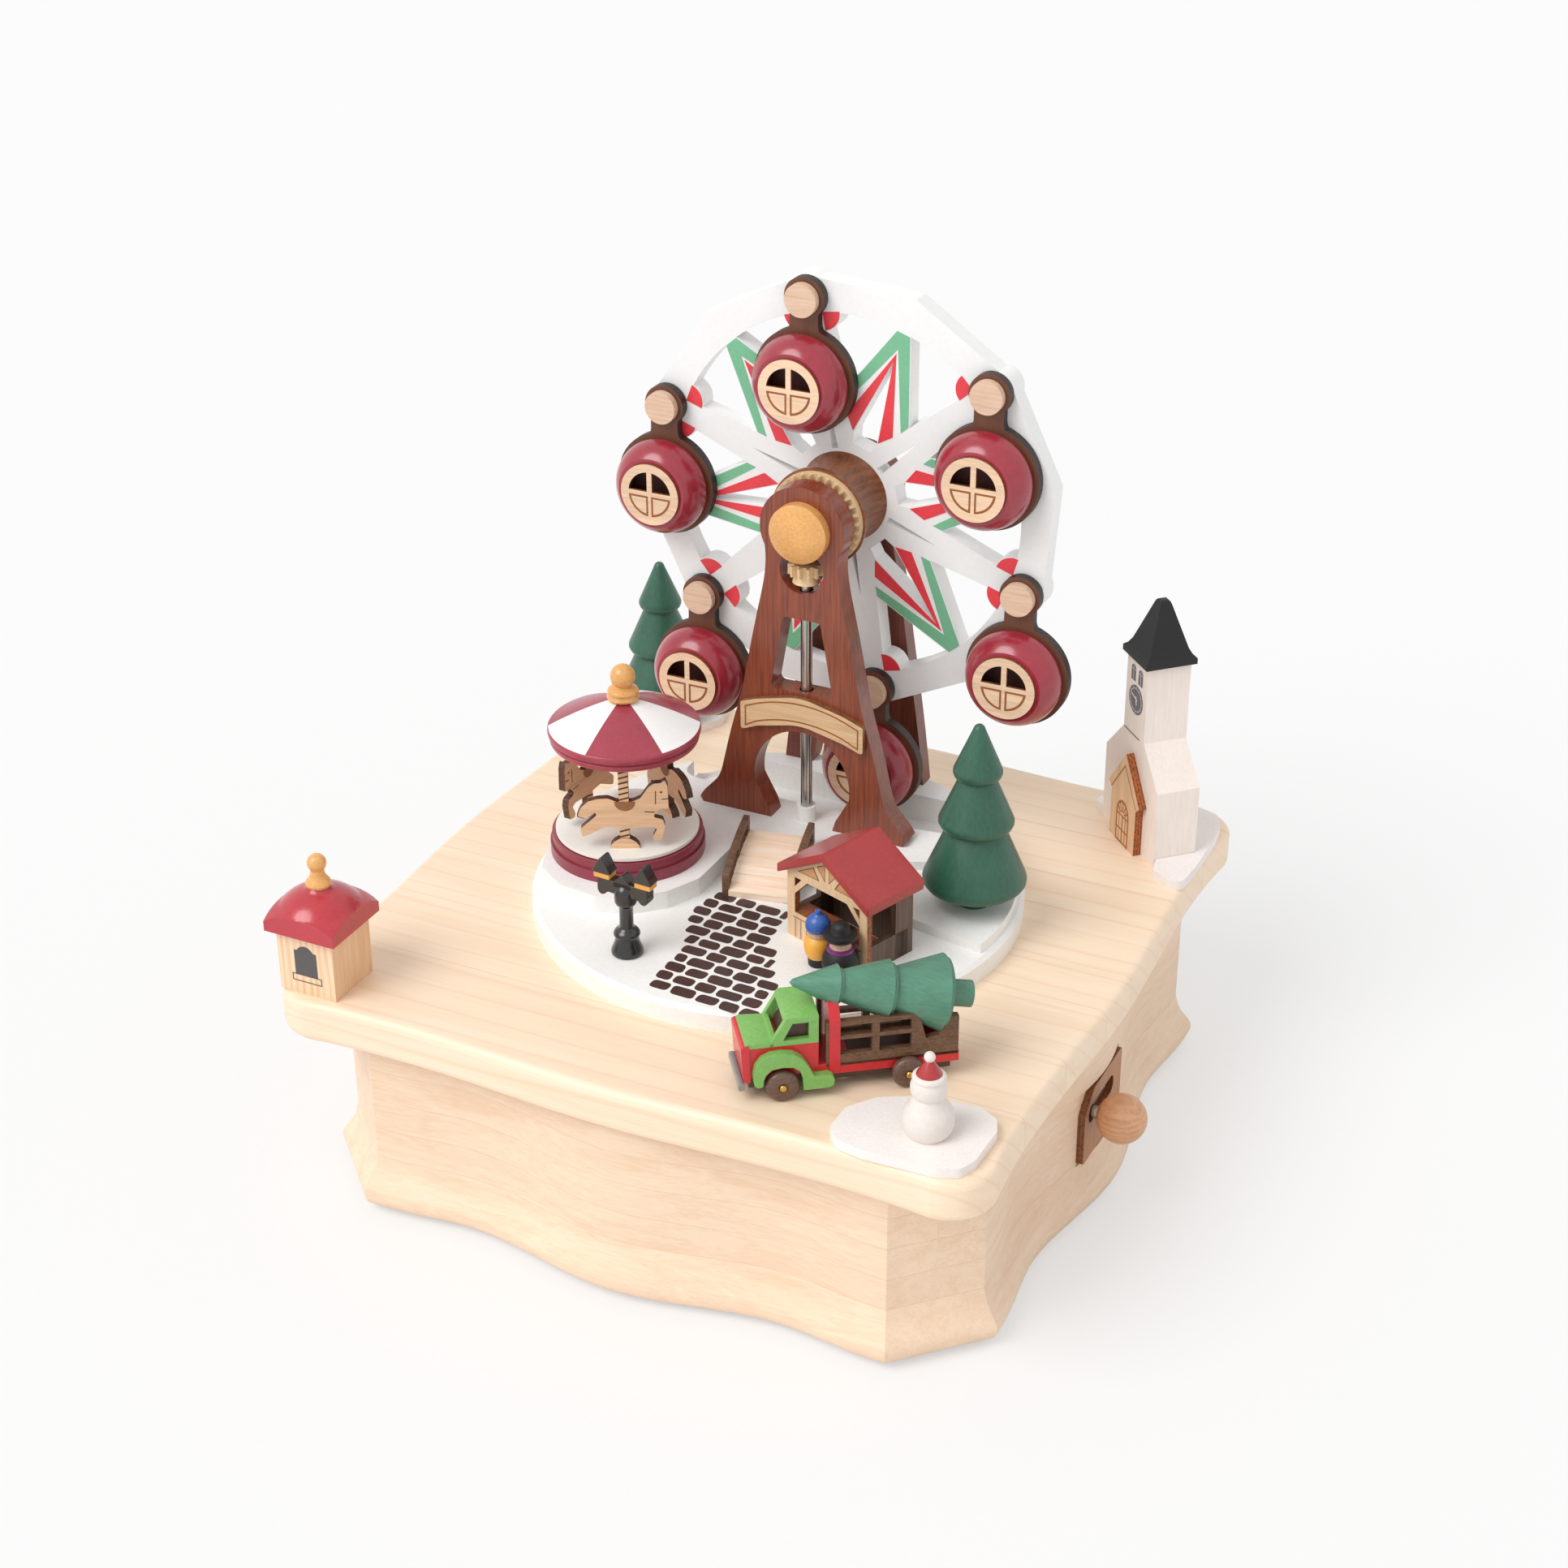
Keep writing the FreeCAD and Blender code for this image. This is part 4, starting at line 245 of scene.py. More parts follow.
def topBoards():  # the top is glued up from boards that run left to right, each with its own figure
    c = plateBoards
    finish, shader = newFinish("mapleBoards", 0.42, 0.12, 0.3)
    where = addNode(finish, "TexCoord").outputs["Object"]
    split = addNode(finish, "SeparateXYZ", {0: where})
    index, seam = glueLines(finish, split.outputs["Y"], c["seams"], c["seamWide"])
    sideways = calc(finish, "MULTIPLY", index, c["shift"][0])
    up = calc(finish, "MULTIPLY", index, c["shift"][1])
    shift = addNode(finish, "CombineXYZ", {"X": sideways, "Y": split.outputs["Z"], "Z": up})
    own = addNode(finish, "VectorMath", {0: where, 1: shift.outputs[0]}, operation="ADD").outputs[0]
    broad = noise(finish, runOf(finish, own, c["figure"]), 3.0, 0.5, 0.5)
    arcs = addNode(finish, "TexWave", {"Vector": runOf(finish, own, c["arcs"]), "Scale": 1.0,
                                       "Distortion": 4.0, "Detail": 2.0, "Detail Scale": 0.8},
                   wave_type="BANDS", bands_direction="Y").outputs["Fac"]
    fine = noise(finish, runOf(finish, where, c["fibre"]), 2.0, 0.6)
    tone = calc(finish, "MULTIPLY_ADD", fine, 0.35, calc(finish, "MULTIPLY", broad, 0.65))
    pale = ramp(finish, tone, [(0.3, tint(*c["shaded"])), (0.58, tint(*c["pale"]))])
    ringLine = addNode(finish, "MapRange", {"Value": arcs, 1: 0.93, 2: 1.0, 3: 0.0, 4: 0.16}).outputs[0]
    lined = mix(finish, ringLine, pale, tint(*c["ring"]))
    ownTone = noise(finish, spread(finish, shift.outputs[0], 300.0), 0.0)
    warmed = mix(finish, calc(finish, "MULTIPLY", ownTone, 0.2), lined, tint(*c["warm"]))
    marked = mix(finish, calc(finish, "MULTIPLY", seam, 0.22), warmed, tint(*c["glue"]))
    join(finish, marked, shader.inputs["Base Color"])
    bumped(finish, shader, fine, 0.25, 0.04)
    return finish


wallLayers = {"seams": (17.2, 27.2, 37.2, 47.2), "seamWide": 0.12, "shift": (0.43, 0.11), "figure": (5.0, 14),
              "fleck": (0.7, 9), "pale": (243, 217, 190), "shaded": (232, 198, 167), "glue": (206, 162, 122)}


def wallBoards():  # the walls are stacked layers; their grain runs along each wall
    c = wallLayers
    finish, shader = newFinish("beechWalls", 0.5, 0.06, 0.3)
    where = addNode(finish, "TexCoord").outputs["Object"]
    split = addNode(finish, "SeparateXYZ", {0: where}).outputs
    side = calc(finish, "GREATER_THAN", calc(finish, "ABSOLUTE", split["X"]),
                calc(finish, "ABSOLUTE", split["Y"]))
    swapped = addNode(finish, "CombineXYZ", {"X": split["Y"], "Y": split["X"], "Z": split["Z"]})
    run = mix(finish, side, where, swapped.outputs[0])
    layer, seam = glueLines(finish, split["Z"], c["seams"], c["seamWide"])
    sideways = calc(finish, "MULTIPLY", layer, c["shift"][0])
    inward = calc(finish, "MULTIPLY", layer, c["shift"][1])
    shift = addNode(finish, "CombineXYZ", {"X": sideways, "Y": inward})
    own = addNode(finish, "VectorMath", {0: run, 1: shift.outputs[0]}, operation="ADD").outputs[0]
    broad = noise(finish, runOf(finish, own, c["figure"]), 3.0, 0.5, 0.8)
    fleck = noise(finish, runOf(finish, own, c["fleck"]), 2.0, 0.6)
    tone = calc(finish, "MULTIPLY_ADD", fleck, 0.45, calc(finish, "MULTIPLY", broad, 0.55))
    pale = ramp(finish, tone, [(0.3, tint(*c["shaded"])), (0.6, tint(*c["pale"]))])
    marked = mix(finish, calc(finish, "MULTIPLY", seam, 0.3), pale, tint(*c["glue"]))
    join(finish, marked, shader.inputs["Base Color"])
    bumped(finish, shader, fleck, 0.25, 0.04)
    return finish


def metal(name, colour, rough=0.25):
    finish, shader = newFinish(name, rough, metal=1.0)
    where = addNode(finish, "TexCoord").outputs["Object"]
    streak = noise(finish, spread(finish, where, 0.8, (1, 1, 20)), 2.0)
    brushed = ramp(finish, streak, [(0.3, shade(colour, 0.88)), (0.7, tint(*colour))])
    join(finish, brushed, shader.inputs["Base Color"])
    bumped(finish, shader, streak, 0.2, 0.05)
    return finish


woods = {  # pale, dark, grain, figure, long, rings, fibre, rough, coat, depth, turn
    "basePly": ((226, 196, 158), (196, 160, 120), "x"),
    "sapele": ((148, 72, 44), (96, 42, 26), "z", 2.4, 9.0, 0.2, 0.6, 0.34, 0.35, 0.08),
    "rearSapele": ((128, 66, 48), (86, 40, 30), "z", 2.4, 9.0, 0.2, 0.6, 0.4, 0.2, 0.08),
    "walnut": ((144, 86, 50), (90, 48, 26), "y", 3.0, 6.0, 0.25, 0.5, 0.34, 0.3, 0.06),
    "beechPegs": ((228, 196, 170), (210, 172, 144), "x", 2.0, 3.0, 0.2, 0.5, 0.5),
    "beechBall": ((222, 168, 128), (194, 142, 104), "x", 2.6, 4.0, 0.3, 0.5, 0.42, 0.1),
    "boothMaple": ((246, 216, 182), (230, 182, 136), "z", 3.0, 8.0, 0.4, 0.4, 0.5),
    "wheelWood": ((112, 84, 70), (78, 56, 46), "y", 2.0, 3.0, 0.2, 0.5, 0.4, 0.15),
    "stallWalnut": ((112, 88, 70), (74, 54, 42), "z", 2.4, 8.0, 0.2, 0.5, 0.5, 0.05),
    "stallPanel": ((214, 160, 108), (190, 132, 84), "x", 1.8, 6.0, 0.2, 0.5, 0.55),
    "counterWood": ((158, 86, 54), (112, 58, 36), "x", 2.0, 8.0, 0.2, 0.5, 0.4, 0.2),
    "bareBeech": ((220, 188, 158), (196, 158, 126), "z", 1.6, 4.0, 0.2, 0.5, 0.5),
    "deckWood": ((255, 234, 212), (246, 212, 180), "x", 1.8, 9.0, 0.3, 0.5, 0.55, 0.0, 0.06,
                 (0, 0, math.radians(-12))),
    "railWalnut": ((122, 88, 62), (74, 48, 34), "x", 1.8, 6.0, 0.2, 0.6, 0.5, 0.05),
}
paints = {  # colour, rough, coat, speck, bump, size, grain
    "felt": ((90, 86, 84), 0.95, 0.0, 0.12, 0.2, 0.5),
    "snowWhite": ((245, 244, 241), 0.6, 0.0, 0.02, 0.12, 0.9),
    "wheelWhite": ((244, 244, 243), 0.38, 0.15, 0.01, 0.03, 1.4),
    "maroonGloss": ((158, 40, 56), 0.24, 0.5, 0.05, 0.02, 2.0),
    "maroonPaint": ((138, 44, 62), 0.36, 0.25, 0.06, 0.06, 0.9),
    "roofMaroon": ((162, 56, 72), 0.34, 0.25, 0.06, 0.06, 0.9),
    "goldPaint": ((228, 168, 98), 0.3, 0.3, 0.07, 0.05, 0.8),
    "blackGloss": ((30, 30, 30), 0.22, 0.5, 0.1, 0.04, 0.9),
    "treeGreen": ((44, 92, 72), 0.42, 0.15, 0.08, 0.08, 0.8, "z"),
    "loadGreen": ((80, 132, 108), 0.36, 0.25, 0.08, 0.08, 0.7, "x"),
    "roofRed": ((168, 48, 48), 0.34, 0.3, 0.05, 0.05, 1.2),
    "truckGreen": ((124, 180, 92), 0.42, 0.15, 0.05, 0.04, 1.0),
    "truckRed": ((204, 32, 42), 0.32, 0.3, 0.05, 0.04, 1.0),
    "whiteWash": ((245, 233, 224), 0.55, 0.0, 0.022, 0.1, 0.8, "z"),
    "plateSnow": ((243, 235, 231), 0.6, 0.0, 0.025, 0.08, 0.9),
    "creamGear": ((226, 194, 150), 0.45, 0.1, 0.04, 0.04, 0.8),
    "diskWhite": ((246, 244, 236), 0.5, 0.05, 0.015, 0.05, 1.0),
    "mintPaint": ((120, 190, 148), 0.42, 0.1, 0.03, 0.04, 1.0),
    "corePaint": ((234, 60, 70), 0.42, 0.1, 0.04, 0.04, 1.0),
    "roofWhite": ((246, 245, 243), 0.4, 0.15, 0.012, 0.03, 1.0),
    "engraved": ((150, 88, 44), 0.7, 0.0, 0.12, 0.04, 0.6),
    # the barrel's inside: its brown wood darkened with painted shade for the deep pocket
    "darkInside": ((72, 34, 26), 0.6, 0.0, 0.2, 0.05, 0.8),
    "blackSatin": ((15, 14, 15), 0.55, 0.0, 0.03, 0.03, 1.0),
    "burntWood": ((96, 56, 34), 0.7, 0.0, 0.2, 0.05, 0.6),
    "saddleWood": ((150, 98, 62), 0.6, 0.0, 0.1, 0.04, 0.6, "x"),
    "lampAmber": ((232, 168, 84), 0.5, 0.05, 0.04, 0.03, 0.8),
    "coatYellow": ((246, 176, 66), 0.42, 0.15, 0.03, 0.03, 1.0),
    "hatBlue": ((48, 92, 170), 0.34, 0.25, 0.04, 0.03, 1.0),
    "collarPurple": ((122, 44, 112), 0.4, 0.2, 0.05, 0.03, 1.0),
    "cobblePrint": ((62, 40, 36), 0.34, 0.2, 0.25, 0.12, 0.7),
    "greyPrint": ((112, 106, 112), 0.6, 0.0, 0.04, 0.02, 1.0),
    "darkPrint": ((88, 84, 84), 0.6, 0.0, 0.03, 0.02, 1.0),
    "darkLine": ((98, 94, 84), 0.7, 0.0, 0.05, 0.02, 1.0),
    "whiteLine": ((232, 230, 232), 0.6, 0.0, 0.02, 0.02, 1.0),
    "doorLine": ((172, 104, 54), 0.7, 0.0, 0.08, 0.02, 0.8),
    "boothRed": ((186, 44, 56), 0.26, 0.45, 0.05, 0.1, 1.0),
    "snowmanWhite": ((230, 221, 214), 0.5, 0.08, 0.02, 0.05, 1.2),
    "underframe": ((74, 50, 40), 0.5, 0.1, 0.12, 0.05, 0.8),
    "silverPaint": ((138, 138, 136), 0.3, 0.2, 0.06, 0.03, 0.8),
}
plies = {  # face, edge, through the plies, grain, rough, turn, coat
    "hangerPly": ((112, 70, 50), (52, 38, 32), (0, 1, 0), "z", 0.5),
    "strapPly": ((182, 120, 68), (140, 80, 40), (1, 0, 0), "z", 0.45, 0.0, 0.2),
    "stallPly": ((236, 200, 160), (176, 106, 60), (0, 1, 0), "z", 0.55, math.radians(-20)),
    "deckPly": ((244, 214, 184), (196, 150, 110), (0, 0, 1), "x", 0.55, math.radians(12)),
    "plaquePly": ((228, 190, 146), (150, 96, 56), (0, 1, 0), "x", 0.5),
    "horsePly": ((216, 166, 122), (112, 72, 46), (0, 1, 0), "x", 0.5),
    "windowPly": ((248, 212, 178), (150, 88, 44), (0, 1, 0), "x", 0.5),
    "doorPly": ((236, 196, 156), (186, 102, 50), (0, 1, 0), "z", 0.55, math.radians(-45.5)),
}
metals = {  # colour, rough
    "steel": ((190, 188, 184), 0.18),
    "brass": ((214, 172, 84), 0.24),
}
finishes = {
    "mapleBoards": topBoards(),
    "beechWalls": wallBoards(),
}
for make, table in ((wood, woods), (paint, paints), (cutPly, plies), (metal, metals)):
    for name, look in table.items():
        finishes[name] = make(name, *look)
for number in range(3):
    name = "horsePly%d" % number
    turn = math.radians(26 + 120 * number)
    finishes[name] = cutPly(name, (242, 198, 156), (104, 64, 40), (0, 1, 0), "x", 0.5, turn)

nodeFinishes = {
    "base_body": "beechWalls", "foot_pads": "felt", "top_plate": "mapleBoards", "bottom_board": "basePly",
    "bottom_screws": "steel", "winding_key": "brass", "lever_plate": "strapPly", "brake_lever": "steel",
    "lever_knob": "beechBall", "center_gear": "creamGear", "magnet_arm": "steel", "rod_gear": "creamGear",
    "drive_rod": "steel", "pinion": "creamGear", "crown_gear": "creamGear", "carousel_gear": "creamGear",
    "spring_barrel": "steel", "movement_bedplate": "steel", "music_cylinder": "brass", "music_comb": "steel",
    "governor": "brass", "snow_island": "snowWhite", "bridge": "deckPly", "front_frame": "sapele",
    "rear_frame": "rearSapele", "arched_plaque": "plaquePly", "wheel_axle": "steel", "frame_cap": "goldPaint",
    "wheel": "wheelWhite", "hub_spool": "walnut", "wheel_pegs": "beechPegs", "carousel_base": "maroonPaint",
    "carousel_disc": "diskWhite", "carousel_roof": "maroonPaint", "carousel_horses": "horsePly",
    "street_lamp": "blackGloss", "stall_house": "stallPly", "stall_roof": "roofRed", "figures": "blackGloss",
    "trees": "treeGreen", "corner_plates": "plateSnow", "snowman": "snowWhite", "church": "whiteWash",
    "booth": "boothMaple", "truck_body": "truckGreen", "truck_tree": "loadGreen",
    "truck_front_wheels": "wheelWood", "truck_rear_wheels": "wheelWood",
}
for number in range(1, 7):
    nodeFinishes["hanger_%d" % number] = "hangerPly"
    nodeFinishes["gondola_%d" % number] = "maroonGloss"

for label, choice in nodeFinishes.items():
    for slot in nodes[label].material_slots:
        slot.material = finishes[choice]
print("finishes set on", len(nodeFinishes), "nodes")


def move(x, y, z):
    return Matrix.Translation((x, y, z))


def spun(angle, axis):
    return Matrix.Rotation(math.radians(angle), 4, axis)


front = spun(90, "X")  # a drawing in X and Y stands up in X and Z, its thickness forward


def at(x, y, z, turn=0.0):
    return move(x, y, z) @ spun(turn, "Z")


def arc(radius, start, end, count, centre=(0.0, 0.0)):  # points along a circle, angles in degrees
    angles = [math.radians(start + (end - start) * i / count) for i in range(count + 1)]
    return [(centre[0] + radius * math.cos(a), centre[1] + radius * math.sin(a)) for a in angles]


def roundOf(radius):  # a whole circle as an outline
    return arc(radius, 0, 352.5, 47)


def bow(start, end, rise, count=6):
    # points of a shallow bend between two profile points, the first one left out
    run = Vector(end) - Vector(start)
    side = Vector((run.y, -run.x)).normalized()
    steps = [i / count for i in range(1, count + 1)]
    return [tuple(Vector(start) + run * t + side * rise * 4 * t * (1 - t)) for t in steps]


def board(outline, thick, holes=(), corner=0.0, segments=4):
    # a flat board cut to an outline, with its openings
    form = bmesh.new()
    for points in [outline] + list(holes):
        ring = [form.verts.new((x, y, 0)) for x, y in points]
        form.faces.new(ring)
        if corner:
            bmesh.ops.bevel(form, geom=ring, offset=corner, segments=segments, profile=0.5, affect="VERTICES",
                            material=-1)
    bmesh.ops.delete(form, geom=form.faces[:], context="FACES_ONLY")
    bmesh.ops.triangle_fill(form, use_beauty=True, edges=form.edges[:])
    grown = bmesh.ops.extrude_face_region(form, geom=form.faces[:])
    top = [v for v in grown["geom"] if isinstance(v, bmesh.types.BMVert)]
    bmesh.ops.translate(form, vec=(0, 0, thick), verts=top)
    return form


def lathe(profile, steps=64, start=0.0):  # a turned form about Z from (radius, height) points
    form = bmesh.new()
    ring = [form.verts.new((r * math.cos(start), r * math.sin(start), z)) for r, z in profile]
    for a, b in zip(ring, ring[1:]):
        form.edges.new((a, b))
    bmesh.ops.spin(form, geom=form.verts[:] + form.edges[:], cent=(0, 0, 0), axis=(0, 0, 1),
                   angle=2 * math.pi, steps=steps, use_merge=True)
    return form


def bar(length, width, height):
    form = bmesh.new()
    bmesh.ops.create_cube(form, size=1.0)
    bmesh.ops.scale(form, vec=(length, width, height), verts=form.verts)
    return form


def tower(levels):  # square sections stacked up from (half side, height) pairs
    form = bmesh.new()
    bmesh.ops.create_grid(form, x_segments=1, y_segments=1, size=levels[0][0])
    bmesh.ops.translate(form, vec=(0, 0, levels[0][1]), verts=form.verts)
    face = form.faces[:]
    last = levels[0]
    for half, height in levels[1:]:
        grown = bmesh.ops.extrude_face_region(form, geom=face)
        verts = [v for v in grown["geom"] if isinstance(v, bmesh.types.BMVert)]
        bmesh.ops.translate(form, vec=(0, 0, height - last[1]), verts=verts)
        bmesh.ops.scale(form, vec=(half / last[0], half / last[0], 1), verts=verts)
        face = [f for f in grown["geom"] if isinstance(f, bmesh.types.BMFace)]
        last = (half, height)
    return form


def fit(piece, form, put, slot):
    # puts a finished form into a piece at its place, in one of the piece's finishes or in its own
    bmesh.ops.remove_doubles(form, verts=form.verts, dist=0.002)
    bmesh.ops.recalc_face_normals(form, faces=form.faces)
    bmesh.ops.transform(form, matrix=put, verts=form.verts)
    for face in form.faces:
        if slot is not None:
            face.material_index = slot
        face.smooth = True
    carrier = bpy.data.meshes.new("carrier")
    form.to_mesh(carrier)
    form.free()
    piece.from_mesh(carrier)
    bpy.data.meshes.remove(carrier)


def makePiece(name, piece, body, looks, replaced=(), soften=0.15, angle=32.0):
    bmesh.ops.scale(piece, vec=(mm, mm, mm), verts=piece.verts)
    mesh = bpy.data.meshes.new(name)
    piece.to_mesh(mesh)
    piece.free()
    for look in looks:
        mesh.materials.append(finishes[look])
    mesh.set_sharp_from_angle(angle=math.radians(angle))
    item = bpy.data.objects.new(name, mesh)
    bpy.context.collection.objects.link(item)
    if soften:
        edge = item.modifiers.new("softEdges", "BEVEL")
        edge.width = soften * mm
        edge.segments = 2
        edge.limit_method = "ANGLE"
        edge.angle_limit = math.radians(angle)
    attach(item, body)
    if replaced:
        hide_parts(*replaced)
    return item


axle = {"x": -4.0, "z": 178.15, "faceY": 53.0, "film": 0.12, "braceStart": 70.8, "spokeStart": 40.8}


def onWheel(angle, y=axle["faceY"]):
    # a drawing whose X runs outward along a spoke, laid on the wheel's front face
    return move(axle["x"], y, axle["z"]) @ spun(-angle, "Y") @ front


def insetBy(points, gap):  # an outline moved inward by a gap, its points given anticlockwise
    moved = []
    for i, point in enumerate(points):
        here = Vector(point)
        ahead = (Vector(points[(i + 1) % len(points)]) - here).normalized()
        behind = (here - Vector(points[i - 1])).normalized()
        inward = Vector((-ahead.y - behind.y, ahead.x + behind.x))
        moved.append(tuple(here + inward * gap / max(0.4, inward.length_squared / 2)))
    return moved


plaque = {"x": -3.7, "face": 22.2, "z": 69.9, "film": 0.06, "line": 0.45,
          "low": [(-18.1, 42.7), (-14.2, 44.9)],
          "end": [(14.2, 44.9), (19.1, 42.6), (19.1, 49.2), (14.3, 51.2)],
          "close": [(-14.3, 51.2), (-18.1, 49.6)], "rise": 2.6}


def buildPlaqueBorder():  # a burnt line just inside the edge of the arched board
    c = plaque
    outline = c["low"] + bow(c["low"][-1], c["end"][0], -c["rise"], 14)
    outline += c["end"][1:] + bow(c["end"][-1], c["close"][0], c["rise"], 14) + c["close"][1:]
    piece = bmesh.new()
    put = move(c["x"], c["face"], c["z"]) @ front
    fit(piece, board(outline, c["film"], [insetBy(outline, c["line"])]), put, 0)
    makePiece("plaqueBorder", piece, "base", ["engraved"], soften=0.0)


trees = {"right": (58.5, 9.0, 79.4), "left": (-85.0, 87.0, 72.9), "leftScale": (0.975, 0.957),
         "profile": [(0, 0), (4.9, 0), (4.9, 4.6), (8.0, 4.8), (12.2, 5.6), (14.3, 6.5), (15.0, 7.5),
                     (15.1, 8.6), (14.8, 9.6), (8.7, 24.0), (8.4, 24.5), (9.3, 24.9), (10.4, 25.6),
                     (10.9, 26.6), (10.9, 27.4), (10.6, 28.2), (5.6, 40.0), (5.4, 40.5), (6.0, 40.9),
                     (6.8, 41.6), (7.1, 42.5), (7.1, 43.3), (6.8, 44.1), (1.8, 56.0), (1.5, 56.8),
                     (0.9, 57.4), (0, 57.6)]}


def buildTrees():  # turned trees of three rounded tiers on a short stem
    piece = bmesh.new()
    wide, tall = trees["leftScale"]
    fit(piece, lathe(trees["profile"], 72), at(*trees["right"]), 0)
    fit(piece, lathe([(r * wide, z * tall) for r, z in trees["profile"]], 72), at(*trees["left"]), 0)
    makePiece("turnedTrees", piece, "base", ["treeGreen"], ["trees"], 0.0, 40.0)


lobe = {"circle": 61.0, "radius": 6.25, "front": 52.95, "deep": 8.2, "edge": 0.25}

bracePaint = {"green": [(55.8, 0), (55.8, 2.1), (30.1, 11.05), (27.4, 9.5), (50.8, 0), (27.4, -9.5),
                        (30.1, -11.05), (55.8, -2.1)],
              "red": [(49.3, 0), (24.9, 7.7), (20.9, 4.2), (46.9, 0), (20.9, -4.2), (24.9, -7.7)],
              "cornerRadius": 5.4, "cornerAt": (55.9, 3.5), "cornerSweep": 88}


def buildWheelPaint():  # painted V braces and the red corners beside each spoke
    piece = bmesh.new()
    for i in range(6):
        put = onWheel(axle["braceStart"] + 60 * i)
        fit(piece, board(bracePaint["green"], axle["film"]), put, 0)
        fit(piece, board(bracePaint["red"], axle["film"]), put, 1)
        put = onWheel(axle["spokeStart"] + 60 * i)
        x, y = bracePaint["cornerAt"]
        for side in (1, -1):
            middle = (x, side * y)
            end = 180 - side * bracePaint["cornerSweep"]
            quarter = [middle] + arc(bracePaint["cornerRadius"], 180, end, 10, middle)
            fit(piece, board(quarter, axle["film"]), put, 1)
        radius, deep, edge = lobe["radius"], lobe["deep"], lobe["edge"]
        disc = [(0, 0), (radius - edge, 0), (radius, edge), (radius, deep - edge), (radius - edge, deep),
                (0, deep)]
        back = onWheel(axle["spokeStart"] + 60 * i, lobe["front"] + deep)
        fit(piece, lathe(disc, 48), back @ move(lobe["circle"], 0, 0), 2)
    makePiece("wheelPaint", piece, "wheel", ["mintPaint", "corePaint", "wheelWhite"], soften=0.0)


gondola = {"pegCircle": 61.0, "drop": 24.8, "seatY": 49.7, "back": 14.2, "backEdge": 0.3, "backBow": 0.08,
           "middle": (14.8, 2.0), "end": (10.95, 9.4), "bulge": 0.95, "pocket": (7.6, 5.2), "window": 9.7,
           "windowThick": 1.0, "pane": 7.1, "halfBar": 0.85, "ring": (7.05, 6.35), "ringStep": 0.3,
           "line": 0.05}


def quarterPane(side, upper, radius, half):  # one quarter of a round pane, its bars left out
    low = math.degrees(math.asin(half / radius))
    points = [(half, half)] + arc(radius, low, 90 - low, 12)
    return [(side * x, upper * y) for x, y in points]


def buildGondola(number):
    g = gondola
    piece = bmesh.new()
    angle = math.radians(axle["spokeStart"] + 60 * (number - 1))
    x = axle["x"] + g["pegCircle"] * math.cos(angle)
    z = axle["z"] + g["pegCircle"] * math.sin(angle) - g["drop"]
    put = move(x, g["seatY"], z) @ front
    profile = [(0, 0), (g["back"] - g["backEdge"], 0), (g["back"], g["backEdge"])]
    profile += bow(profile[-1], g["middle"], g["backBow"]) + bow(g["middle"], g["end"], g["bulge"], 12)
    inside, floor = g["pocket"]
    barrel = lathe(profile + [(inside, g["end"][1]), (inside, floor), (0, floor)], 72)
    # the pocket's faces take the inside finish, brown wood darkened with painted shade
    for face in barrel.faces:
        face.material_index = 2 if face.calc_center_median().xy.length < inside + 0.01 else 0
    fit(piece, barrel, put, None)
    panes = [quarterPane(side, 1, g["pane"], g["halfBar"]) for side in (1, -1)]
    disc = board(roundOf(g["window"]), g["windowThick"], panes)
    fit(piece, disc, put @ move(0, 0, g["end"][1]), 1)
    lift = put @ move(0, 0, g["end"][1] + g["windowThick"])
    for side in (1, -1):
        outer = quarterPane(side, -1, g["ring"][0], g["halfBar"] - g["ringStep"])
        inner = quarterPane(side, -1, g["ring"][1], g["halfBar"] + g["ringStep"])
        fit(piece, board(outer, g["line"], [inner]), lift, 3)
    makePiece("gondolaCar%d" % number, piece, "gondola_%d_body" % number,
              ["maroonGloss", "windowPly", "darkInside", "engraved"], ["gondola_%d" % number])


carousel = {"x": -44.93, "y": -9.88, "roofZ": 118.3, "roofTop": (21.8, 4.9), "crown": (3.2, 13.0),
            "roofBow": 0.5, "wedgeStart": 28.3, "wedge": 60, "ball": (3.7, 20.2), "disc": 89.9,
            "rim": [(0, 0), (21.0, 0), (21.6, 0.35), (21.9, 1.0), (21.85, 1.7), (21.3, 2.15), (21.7, 2.4),
                    (22.35, 2.9), (22.5, 3.6), (22.4, 4.4), (22.1, 4.8)],
            "finial": [(0, 12.9), (4.1, 12.9), (4.7, 13.3), (4.9, 13.9), (4.4, 14.6), (4.3, 15.0),
                       (4.65, 15.5), (4.4, 16.2), (3.2, 16.9), (2.5, 17.2)]}


def buildCarouselRoof():  # a turned rim and cone in six painted wedges, under a gold finial
    c = carousel
    put = at(c["x"], c["y"], c["roofZ"])
    piece = bmesh.new()
    profile = c["rim"] + [c["roofTop"]] + bow(c["roofTop"], c["crown"], c["roofBow"],
                                              8) + [(0, c["crown"][1])]
    roof = lathe(profile, 96, math.radians(c["wedgeStart"]))
    for face in roof.faces:
        middle = face.calc_center_median()
        if middle.z > c["roofTop"][1] - 0.1:
            around = (math.degrees(math.atan2(middle.y, middle.x)) - c["wedgeStart"]) % 360
            face.material_index = int(around // c["wedge"]) % 2
    fit(piece, roof, put, None)
    radius, centre = c["ball"]
    ball = arc(radius, -50, 90, 14, (0, centre))
    fit(piece, lathe(c["finial"] + ball, 48), put, 2)
    makePiece("carouselRoof", piece, "carousel", ["roofMaroon", "roofWhite", "goldPaint"],
              ["carousel_roof"], 0.12)


